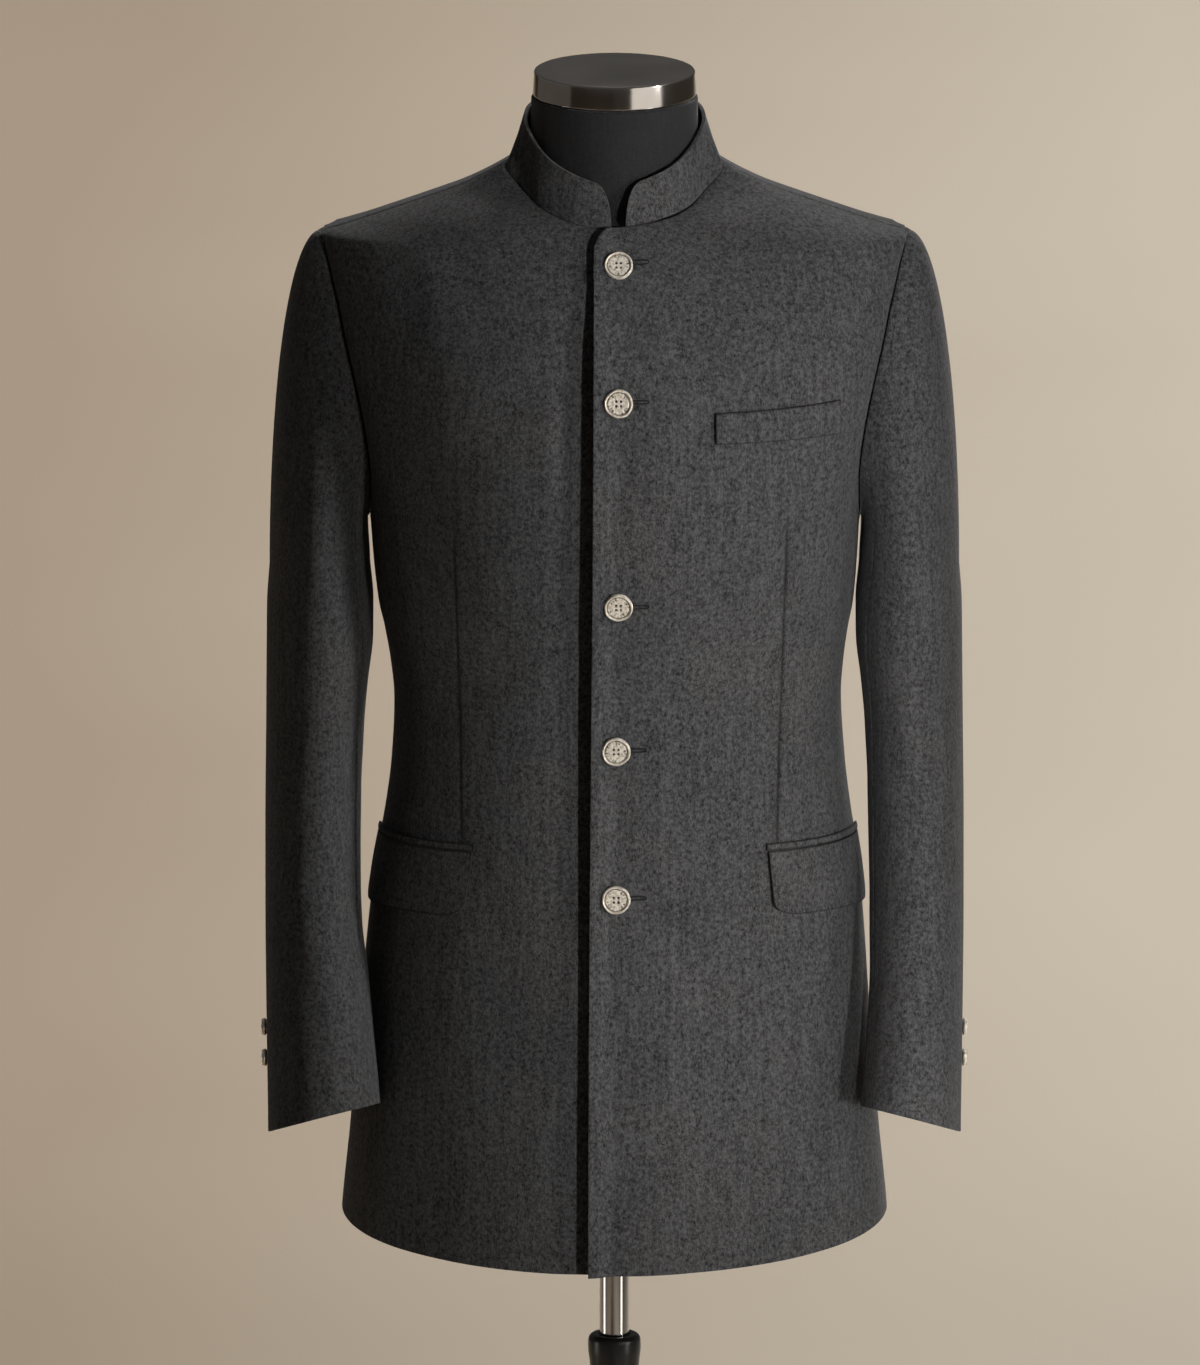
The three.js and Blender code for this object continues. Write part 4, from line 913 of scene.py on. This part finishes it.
def make_sleeve(side, is_top):
    """The top or the under sleeve: columns from seam to seam, which drift towards the back
    lower down, and rows from the armhole to the cuff."""
    t = np.concatenate([crowded(46, 0.5), 1 + np.linspace(0, 1, 101)[1:] ** 0.97])[:, None]
    turned = smooth(t / 2)
    front = mix(*SLEEVE_SEAMS["front"], turned) * DEGREE
    back = mix(*SLEEVE_SEAMS["back"], turned) * DEGREE
    start, end = (back - 2 * math.pi, front) if is_top else (front, back)
    phi = mix(start, end, crowded(88 if is_top else 66))
    points = mirrored(sleeve_point(side, phi, t), side)
    across, down = along(points, 1), along(points, 0)
    roll = seam_roll(across, 0.8, 1.7) + seam_roll(across[:, -1:] - across, 0.8, 1.7)
    roll = roll * smooth(down / 12) + seam_roll(down, 0.3, 1.5)
    name = f"sleeve_{'top' if is_top else 'under'}_{'left' if side > 0 else 'right'}"
    outward = (side, 0, 0) if is_top else (-side, 0.2, 0)
    u = phi * SLEEVE_CLOTH_RADIUS
    return cloth_piece(name, points, WALL, outward, roll=roll, u=u)


# The pockets
def patch_points(side, across, up, place, lift):
    """Points of a piece that lies on a front: the front's own points, moved out."""
    angle, z, puff = place(across, up, side)
    x = BODY["half"](z) * np.sin(angle)
    under = lap_lift(x, z) if side > 0 else 0
    return mirrored(body_point(side, angle, z, under + lift + puff), side)


def flap_place(across, up, side):
    """The hip flap: its lower corners are round, its lower edge stands off a little, and its
    inner lower corner stands off most."""
    reach = HIP_FLAP["round"] / HIP_FLAP["length"]
    inset = np.clip(1 - across / reach, 0, 1), np.clip(1 - (1 - across) / reach, 0, 1)
    curve = sum(1 - np.sqrt(np.maximum(1 - part**2, 0)) for part in inset)
    top = mix(*HIP_FLAP["top"], across)
    bottom = mix(*HIP_FLAP["bottom"], across) + HIP_FLAP["round"] * curve * 0.85
    z = mix(bottom, top, up)
    inner = mix(HIP_FLAP["bottom_inner_x"], HIP_FLAP["inner_x"], up) + HIP_FLAP["shift"][side]
    angle = mix(angle_at_x(inner, z), HIP_FLAP["outer"] * DEGREE, across)
    down = 1 - up
    lift = FLAP_STANDS_OFF["middle"] * down * np.sin(math.pi * across)
    lift = lift + FLAP_STANDS_OFF["edge"] * down**2
    lift = lift + FLAP_STANDS_OFF["inner_corner"] * down * (1 - smooth(across / 0.3))
    return angle, z, lift


def jetting_place(across, up, side):
    z = mix(*HIP_FLAP["top"], across) + JETTING["gap"] + JETTING["height"] * up
    inner = HIP_FLAP["inner_x"] - JETTING["over"] + HIP_FLAP["shift"][side]
    angle = mix(angle_at_x(inner, z), (HIP_FLAP["outer"] + 0.4) * DEGREE, across)
    return angle, z, 0.5 * np.sin(math.pi * up)


def welt_place(across, up, side):
    z = mix(mix(*WELT["bottom"], across), mix(*WELT["top"], across), up)
    angle = mix(angle_at_x(WELT["inner_x"], z), angle_at_x(WELT["outer_x"], z), across)
    return angle, z, 0.35 * np.sin(math.pi * up)


def make_patch(name, side, columns, rows, place):
    """A pocket piece as a sheet of real thickness on the front."""
    across, up = crowded(columns, 0.7)[None, :], crowded(rows, 0.6)[:, None]
    across, up = np.broadcast_arrays(across, up)
    points = patch_points(side, across, up, place, PATCH_LIFT + WALL)
    from_side, from_foot = along(points, 1), along(points, 0)
    from_side = np.minimum(from_side, from_side[:, -1:] - from_side)
    from_foot = np.minimum(from_foot, from_foot[-1:] - from_foot)
    # Painted shade darkens each piece along its edges, where the shadow lines round a pocket fall
    seam_shade = 1 - smooth(np.minimum(from_side, from_foot) / SEAM_SHADE_WIDTH)
    return cloth_piece(name, points, WALL, (0.7 * side, -1, 0), 0.9, seam_shade=seam_shade)


# Buttons and buttonholes
def relief(radius, turn, seed):
    """The worn relief of a cast button, as a height from -1 to 1: a ring of uneven beads and
    a few crossed waves whose phases come from a seeded draw."""
    draw = np.random.default_rng(seed)
    phase = draw.uniform(0, 2 * math.pi, 6)
    beads = np.sin(11 * turn + phase[0]) * np.sin(7 * turn + phase[1])
    ring = np.exp(-(((radius - 0.62) / 0.1) ** 2)) * beads
    x, y = radius * np.cos(turn), radius * np.sin(turn)
    waves = np.sin(13 * x + phase[2]) * np.sin(12 * y + phase[3])
    waves = waves + 0.7 * np.sin(21 * x + 9 * y + phase[4]) * np.sin(17 * y - 8 * x + phase[5])
    return 0.75 * ring + 0.3 * waves * (radius < 0.8) * smooth((radius - 0.3) / 0.12)


def button_height(radius, turn, size, seed):
    """The face of a button by its radius and turn: a raised rolled rim with a groove inside,
    a shallow dish with relief, and four thread holes."""
    share = radius / size["radius"]
    rim = np.exp(-(((share - 0.9) / 0.075) ** 2)) * (1 + 0.1 * np.sin(5 * turn + seed))
    groove = np.exp(-(((share - 0.775) / 0.045) ** 2))
    face = size["thickness"] - BUTTON_RIM + 1.2 * rim - 0.55 * groove
    face = face + 0.3 * relief(share, turn, seed) * (share < 0.84)
    edge = np.clip((share - 0.93) / 0.07, 0, 1)
    face = face - 1.5 * (1 - np.sqrt(np.maximum(1 - edge**2, 0)))
    x, y = radius * np.cos(turn), radius * np.sin(turn)
    # low is where the metal darkens: tarnish in the groove and the relief's hollows, and painted shade in
    # the thread holes
    low = 0.9 * groove + 1.3 * np.clip(-relief(share, turn, seed), 0, 1) * (share < 0.84)
    for cx, cy in ((-1, -1), (-1, 1), (1, -1), (1, 1)):
        away = np.hypot(x - cx * size["spacing"] / 2, y - cy * size["spacing"] / 2)
        pit = 1 - smooth((away - size["hole"] * 0.75) / (size["hole"] * 0.45))
        face = face - pit * (face - 0.7)
        # The thread holes take full painted shade
        low = np.maximum(low, pit)
    return face, np.clip(low, 0, 1)


def make_button(node, size, seed):
    """A button in its node's place: the face as a height over a disc, closed with a rounded
    side and a flat back. The disc's plane comes from the node's own box and mesh."""
    corners = values_of(NODES[node].data.vertices, "co", 3) / MM
    centre = corners.mean(axis=0)
    normal = np.linalg.svd(corners - centre)[2][2]
    outward = np.array([0, -1, 0]) if "front" in node else np.array([np.sign(centre[0]), 0, 0])
    normal = normal * np.sign(normal @ outward)
    depth = (corners - centre) @ normal
    foot = centre + normal * depth.min()
    right = np.cross([0, 0, 1], -normal)
    right /= np.linalg.norm(right)
    up = np.cross(normal, right)
    up *= np.sign(up[2])
    rings = np.concatenate([np.linspace(0.02, 0.5, 18), np.linspace(0.5, 1, 24)[1:]])
    turn = np.linspace(0, 2 * math.pi, size["sides"] + 1)[None, :-1]
    radius = rings[:, None] * size["radius"]
    face, low = button_height(radius + 0 * turn, turn + 0 * radius, size, seed)
    wobble = 1 + 0.012 * np.sin(3 * turn + seed) + 0.008 * np.sin(7 * turn + 2 * seed)
    radius = radius * wobble
    back = size["thickness"] - BUTTON_RIM
    for share, height in ((1.0, 0.52), (0.97, 0.25), (0.88, 0.04), (0.6, 0), (0.02, 0)):
        radius = np.concatenate([radius, size["radius"] * share * wobble])
        face = np.concatenate([face, np.full_like(turn, height * back)])
        low = np.concatenate([low, np.full_like(turn, 0.5)])
    x, y = radius * np.cos(turn), radius * np.sin(turn)
    points = foot + x[..., None] * right + y[..., None] * up + face[..., None] * normal
    inward_first = np.dot(np.cross(right, up), normal) < 0
    if inward_first:
        points, low, x, y = points[:, ::-1], low[:, ::-1], x[:, ::-1], y[:, ::-1]
    points = points[::-1]
    low, x, y = low[::-1], x[::-1], y[::-1]
    mesh = mesh_of(node, points, x, y, closed=True)
    close_poles(mesh, points.shape[1])
    values = np.concatenate([low.ravel(), [0.5, 0.5]]).astype(np.float32)
    mesh.attributes.new("low", "FLOAT", "POINT").data.foreach_set("value", values)
    return add_piece(f"{node}_cast", mesh, BUTTON_METAL, "button_metal", node)


def values_of(items, key, size, kind=float):
    """A property of all items of a mesh as an array, a row for each item."""
    values = np.zeros(len(items) * size, kind)
    items.foreach_get(key, values)
    return values.reshape(-1, size)


def close_poles(mesh, columns):
    """Closes the first and last ring of a closed grid with a fan round a middle point."""
    count = len(mesh.vertices)
    points = values_of(mesh.vertices, "co", 3)
    faces = values_of(mesh.loops, "vertex_index", 1, int).reshape(-1, 4).tolist()
    uv = values_of(mesh.uv_layers[0].data, "uv", 2, np.float32)
    first, last = np.arange(columns), np.arange(count - columns, count)
    middles = np.array([points[first].mean(axis=0), points[last].mean(axis=0)])
    fans = [[count, int(b), int(a)] for a, b in zip(first, np.roll(first, -1))]
    fans += [[count + 1, int(a), int(b)] for a, b in zip(last, np.roll(last, -1))]
    mesh.clear_geometry()
    fill_mesh(mesh, np.concatenate([points, middles]), faces + fans)
    layer = mesh.uv_layers.get("cloth") or mesh.uv_layers.new(name="cloth")
    fan_uv = np.zeros(len(fans) * 6, np.float32)
    layer.data.foreach_set("uv", np.concatenate([uv.ravel(), fan_uv]))


def front_point(x, z, lift):
    """A point on the left front, x across from the centre line, moved out by lift."""
    angle = angle_at_x(x, z)
    return body_point(1, angle, z, lap_lift(x, z) + lift)


def make_buttonhole(index, node):
    """A buttonhole beside a button: a thread loop of uneven stitches laid round a slit. The
    loop is a round section carried along a long oval on the front."""
    low, high = (np.array(corner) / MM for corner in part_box(node))
    x0, z0 = (low[0] + high[0]) / 2, (low[2] + high[2]) / 2
    turn = np.linspace(0, 2 * math.pi, 181)[:, None]
    half = (BUTTONHOLE["to"] - BUTTONHOLE["from"]) / 2
    middle = x0 + BUTTONHOLE["from"] + half
    sag = 0.1 * np.sin(2 * turn + index)
    x = middle + half * np.cos(turn)
    ease = np.abs(np.sin(turn)) ** 0.45 * np.sign(np.sin(turn))
    z = z0 + (BUTTONHOLE["open"] + BUTTONHOLE["lip"]) * ease + sag
    section = np.linspace(0, 2 * math.pi, 9)[None, :-1]
    stitch = BUTTONHOLE["lip"] * (1 + 0.22 * np.sin(60 * turn + index) + 0.1 * np.sin(17 * turn))
    centre = front_point(x, z, 0.2)
    up = front_point(x, z, 1.2) - centre
    way = np.gradient(centre, axis=0)
    side = np.cross(way, up)
    side /= np.maximum(np.linalg.norm(side, axis=-1, keepdims=True), 1e-9)
    cos, sin = np.cos(section)[..., None], np.sin(section)[..., None]
    points = centre + stitch[..., None] * (side * cos + up * sin * 0.8)
    points, u, v = points[:-1], x[:-1] + 0 * section, z[:-1] + 0 * section
    mesh = mesh_of(f"buttonhole_{index}", points, u, v, closed=True)
    join_rows(mesh, points.shape[:2])
    return add_piece(f"buttonhole_{index}", mesh, THREAD, "wool")


def join_rows(mesh, shape):
    """Joins the last row of a closed grid to its first, which makes a ring of it."""
    rows, columns = shape
    index = np.pad(np.arange(rows * columns).reshape(rows, columns), (0, 1), mode="wrap")
    points = values_of(mesh.vertices, "co", 3)
    mesh.clear_geometry()
    fill_mesh(mesh, points, face_corners(index).reshape(-1, 4).tolist())
    fix_faces(mesh)


def fix_faces(mesh):
    """Turns every face of a closed mesh outwards."""
    work = bmesh.new()
    work.from_mesh(mesh)
    bmesh.ops.recalc_face_normals(work, faces=work.faces)
    work.to_mesh(mesh)
    work.free()


# The form and its stand
def plate_x(z):
    """The widest that the form may be, so that its arm plates end inside the armholes."""
    depth = -ARMHOLE_FRONT * 0.8
    rim = ring_point(angle_at_y(np.full_like(z, depth), z), z)[..., 0] - FORM_PLATE_CLEAR
    inside = smooth((z - (UNDERARM_Z - 30)) / 30) * (1 - smooth((z - 1325) / 28))
    return np.minimum(mix(BODY["half"](z), rim, inside), FORM_SHOULDER_X)


def make_form():
    """The dress form: the body's rings moved in, over the shoulders along the panels' rows,
    then a round neck, closed at the foot and at the top."""
    turn = np.linspace(0, 2 * math.pi, 145)[:-1]
    side = np.where(turn <= math.pi, 1, -1)
    angle = np.where(side > 0, turn, 2 * math.pi - turn)[None, :]
    trunk = np.linspace(*FORM_TRUNK_Z, 76)[:, None] + 0 * angle
    v = 2 + crowded(14, 0.3)[:, None]
    heights = []
    for is_front in (True, False):
        rows = panel_rows(is_front, v)
        heights.append(row_height(v, is_front, *rows, angle))
    top = np.where(angle <= math.pi / 2, heights[0], heights[1])
    z = np.concatenate([trunk, top])
    closer = smooth((z - FORM_CLOSES_IN["from"]) / FORM_CLOSES_IN["over"])
    clear = mix(FORM_CLEAR, WALL + REST_GAP, closer)
    normal = normal_of(ring_point, angle + 0 * z, z, 0.01, 1)
    body = ring_point(angle + 0 * z, z) - normal * clear[..., None]
    body[..., 0] = np.minimum(body[..., 0], plate_x(z)) * side
    way = np.arctan2(body[-1, :, 0], -(body[-1, :, 1] - NECK["set_back"]))
    neck_x = NECK["radius"] * np.sin(way)
    neck_y = NECK["set_back"] - NECK["radius"] * np.cos(way)
    shoulder_z, brim_z = body[-1, :, 2] + 9, NECK["top_z"] - NECK["brim"]
    neck_rows = [mix(shoulder_z, brim_z, share) for share in np.linspace(0, 1, 22)]
    neck = np.stack([np.stack([neck_x, neck_y, row], axis=-1) for row in neck_rows])
    foot_rows = ((0.5, 0), (0.93, 0), (0.97, 1.6))
    foot = np.stack([body[0] * [s, s, 0] + [0, 0, FORM_BOTTOM_Z + up] for s, up in foot_rows])
    brim_rows = ((0.996, 0.9), (0.985, 1.8), (0.96, NECK["brim"]), (0.5, NECK["brim"]))
    brim = np.stack([neck[-1] * [s, s, 1] + [0, 0, up] for s, up in brim_rows])
    points = np.concatenate([foot, body, neck, brim])
    mesh = mesh_of("dress_form", points, along(points, 1), along(points, 0), closed=True)
    close_poles(mesh, points.shape[1])
    fix_faces(mesh)
    return add_piece("dress_form_cover", mesh, JERSEY, "form_cover", "dress_form")


def make_turned(name, node, profile, columns, material, slot, y=0, is_tube=False):
    """A turned piece: a profile of (radius, height) points carried round an upright axis. A
    tube's profile ends where it starts, and every other piece is shut at its two poles."""
    turn = np.linspace(0, 2 * math.pi, columns + 1)[None, :-1]
    radius, height = np.array(profile[:-1] if is_tube else profile, float).T[..., None]
    points = [radius * np.cos(turn), y + radius * np.sin(turn), height + 0 * turn]
    points = np.stack(points, axis=-1)
    mesh = mesh_of(name, points, along(points, 1), along(points, 0), closed=True)
    if is_tube:
        join_rows(mesh, points.shape[:2])
    else:
        close_poles(mesh, columns)
        fix_faces(mesh)
    return add_piece(name, mesh, material, slot, node)


def rounded(profile, radius, steps=4):
    """A profile with each inner corner cut by a small arc, as a quadratic curve."""
    points = [np.array(p, float) for p in profile]
    out = [points[0]]
    for before, corner, after in zip(points, points[1:], points[2:]):
        reach = [min(radius, np.linalg.norm(side - corner) / 2.2) for side in (before, after)]
        a = corner + (before - corner) / np.linalg.norm(before - corner) * reach[0]
        b = corner + (after - corner) / np.linalg.norm(after - corner) * reach[1]
        for t in np.linspace(0, 1, steps + 1):
            out.append(a * (1 - t) ** 2 + corner * 2 * t * (1 - t) + b * t * t)
    out.append(points[-1])
    return out


def make_stand():
    """The neck cap, the pole, its clamp, the column and the base, from their nodes' boxes."""
    low, high = (np.array(c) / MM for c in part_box("neck_cap"))
    cap_r, y = (high[0] - low[0]) / 2, (low[1] + high[1]) / 2
    profile = [(1, low[2]), (cap_r - 1.2, low[2]), (cap_r, low[2] + 1.2), (cap_r - 1.1, high[2] - 1)]
    profile += [(cap_r - 2.1, high[2]), (cap_r * 0.6, high[2] - 0.35), (1, high[2] - 0.5)]
    profile = rounded(profile, 0.8)
    make_turned("neck_cap_spun", "neck_cap", profile, 128, CAP_METAL, "cap_metal", y)
    low, high = (np.array(c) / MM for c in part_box("pole"))
    pole_r = high[0]
    profile = rounded([(1, low[2]), (pole_r, low[2]), (pole_r, high[2]), (1, high[2])], 0.6)
    make_turned("pole_tube", "pole", profile, 64, CHROME, "pole_chrome")
    low, high = (np.array(c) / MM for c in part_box("pole_clamp"))
    wide, bore = high[0], pole_r + 0.3
    profile = [(bore, low[2]), (wide * 0.74, low[2]), (wide, high[2] - 12), (wide, high[2] - 3)]
    profile += [(wide * 0.86, high[2]), (bore, high[2]), (bore, low[2])]
    profile, slot = rounded(profile, 3, 6), "clamp_black"
    make_turned("pole_clamp_knob", "pole_clamp", profile, 96, MOULDING, slot, is_tube=True)
    low, high = (np.array(c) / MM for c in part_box("column"))
    outer = high[0]
    profile = [(outer - 2, low[2]), (outer, low[2]), (outer, high[2]), (outer - 2, high[2])]
    profile = rounded(profile + profile[:1], 0.4)
    make_turned("column_tube", "column", profile, 64, PAINT, "stand_black", is_tube=True)
    low, high = (np.array(c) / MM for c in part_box("base"))
    wide, hub = high[0], 34
    profile = [(1, 0), (wide - 2, 0), (wide, 2.8), (wide - 1.5, 7), (wide * 0.55, 13.6), (hub, 18.4)]
    profile += [(hub * 0.62, 32.2), (hub * 0.55, high[2]), (outer + 0.3, high[2])]
    profile += [(outer + 0.3, 16), (1, 16)]
    make_turned("base_plate", "base", rounded(profile, 2.4, 5), 128, PAINT, "stand_black")


# The studio
def make_camera():
    """The photo's camera: a long lens far off, looking down at the garment by its slope."""
    data = bpy.data.cameras.new("camera")
    slope = CAMERA["slope"] * DEGREE
    scale = CAMERA["mm_per_pixel"] * MM
    data.sensor_width = 36
    data.lens = data.sensor_width * CAMERA["distance"] / scale / max(IMAGE)
    data.clip_start, data.clip_end = 1, 200
    camera = bpy.data.objects.new("camera", data)
    bpy.context.scene.collection.objects.link(camera)
    x = -(CAMERA["axis_px"] - IMAGE[0] / 2) * scale
    target = Vector((x, 0, CAMERA["look_z"] * MM))
    back = Vector((0, -math.cos(slope), math.sin(slope)))
    camera.location = target + back * CAMERA["distance"]
    camera.rotation_euler = (math.pi / 2 - slope, 0, 0)
    bpy.context.scene.camera = camera


def make_floor():
    """A wide pale floor of paper that fills the background, painted darker towards the left as shade."""
    size = 60000
    grid = np.linspace(-1, 1, 3) * size
    x, y = np.meshgrid(grid, grid)
    mesh = mesh_of("floor", np.stack([x, y, 0 * x], axis=-1), x, y)
    material, g, place = new_material("backdrop_paper", 0.95)
    cloud = g.math("SUBTRACT", g.noise(place["Object"], 0.8, 2.0), 0.5)
    # A few soft random clouds, and painted shade that darkens the floor from right to left
    tone = g.between(g.math("MULTIPLY_ADD", cloud, 0.5, g.split(place["Object"])[0]), -0.5, 0.5)
    color = g.blend(tone, (0.4, 0.325, 0.25, 1), (0.6, 0.535, 0.445, 1))
    mesh.materials.append(dress(material, Base_Color=color, Specular_IOR_Level=0))
    floor = bpy.data.objects.new("floor", mesh)
    bpy.context.scene.collection.objects.link(floor)


def make_light(name, place, aim, size, watts, color, spread):
    """A soft box at a place, aimed at a point, whose grid narrows its beam to the spread."""
    data = bpy.data.lights.new(name, "AREA")
    data.shape = "RECTANGLE"
    data.size, data.size_y = size
    data.energy = watts
    data.color = color
    data.spread = spread * DEGREE
    light = bpy.data.objects.new(name, data)
    bpy.context.scene.collection.objects.link(light)
    light.location = place
    light.rotation_euler = (Vector(aim) - Vector(place)).to_track_quat("-Z", "Y").to_euler()
    light.visible_camera = False
    return light


def make_studio():
    """The floor, the lights and a dim warm sky."""
    make_floor()
    for name, place, aim, size, watts, color, spread, unlit in LIGHTS:
        light = make_light(name, place, aim, size, watts, color, spread)
        light.visible_glossy = unlit != "glossy"
        light.visible_diffuse = unlit != "diffuse"
    world = bpy.data.worlds.new("studio")
    bpy.context.scene.world = world
    world.use_nodes = True
    background = world.node_tree.nodes["Background"]
    background.inputs["Color"].default_value = (1, 0.97, 0.94, 1)
    background.inputs["Strength"].default_value = 0.072
    bpy.context.scene.view_settings.view_transform = "Standard"


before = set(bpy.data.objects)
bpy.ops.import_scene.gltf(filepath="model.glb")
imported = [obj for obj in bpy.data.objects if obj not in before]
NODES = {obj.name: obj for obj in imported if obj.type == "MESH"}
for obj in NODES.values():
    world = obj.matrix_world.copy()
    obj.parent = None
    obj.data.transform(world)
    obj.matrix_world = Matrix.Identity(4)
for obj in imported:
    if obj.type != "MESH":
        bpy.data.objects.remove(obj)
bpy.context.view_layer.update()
make_camera()

WOOL = make_wool()
BUTTON_METAL = make_button_metal()
THREAD = make_thread()
JERSEY = make_jersey()
CAP_METAL = make_cap_metal()
CHROME = make_chrome()
MOULDING = make_black_plastic()
PAINT = make_black_paint()

for side in (1, -1):
    make_front(side)
    make_back(side)
    make_sleeve(side, True)
    make_sleeve(side, False)
    name = "left" if side > 0 else "right"
    make_patch(f"pocket_flap_{name}", side, 60, 30, flap_place)
    make_patch(f"pocket_jetting_{name}", side, 60, 8, jetting_place)
make_patch("chest_welt", 1, 48, 18, welt_place)
make_collar()

for number in range(1, 6):
    make_button(f"front_button_{number}", FRONT_BUTTON, number)
    make_buttonhole(number, f"front_button_{number}")
for number, cuff_side in enumerate(("left", "left", "right", "right")):
    make_button(f"cuff_button_{cuff_side}_{number % 2 + 1}", CUFF_BUTTON, 10 + number)

make_form()
make_stand()
make_studio()
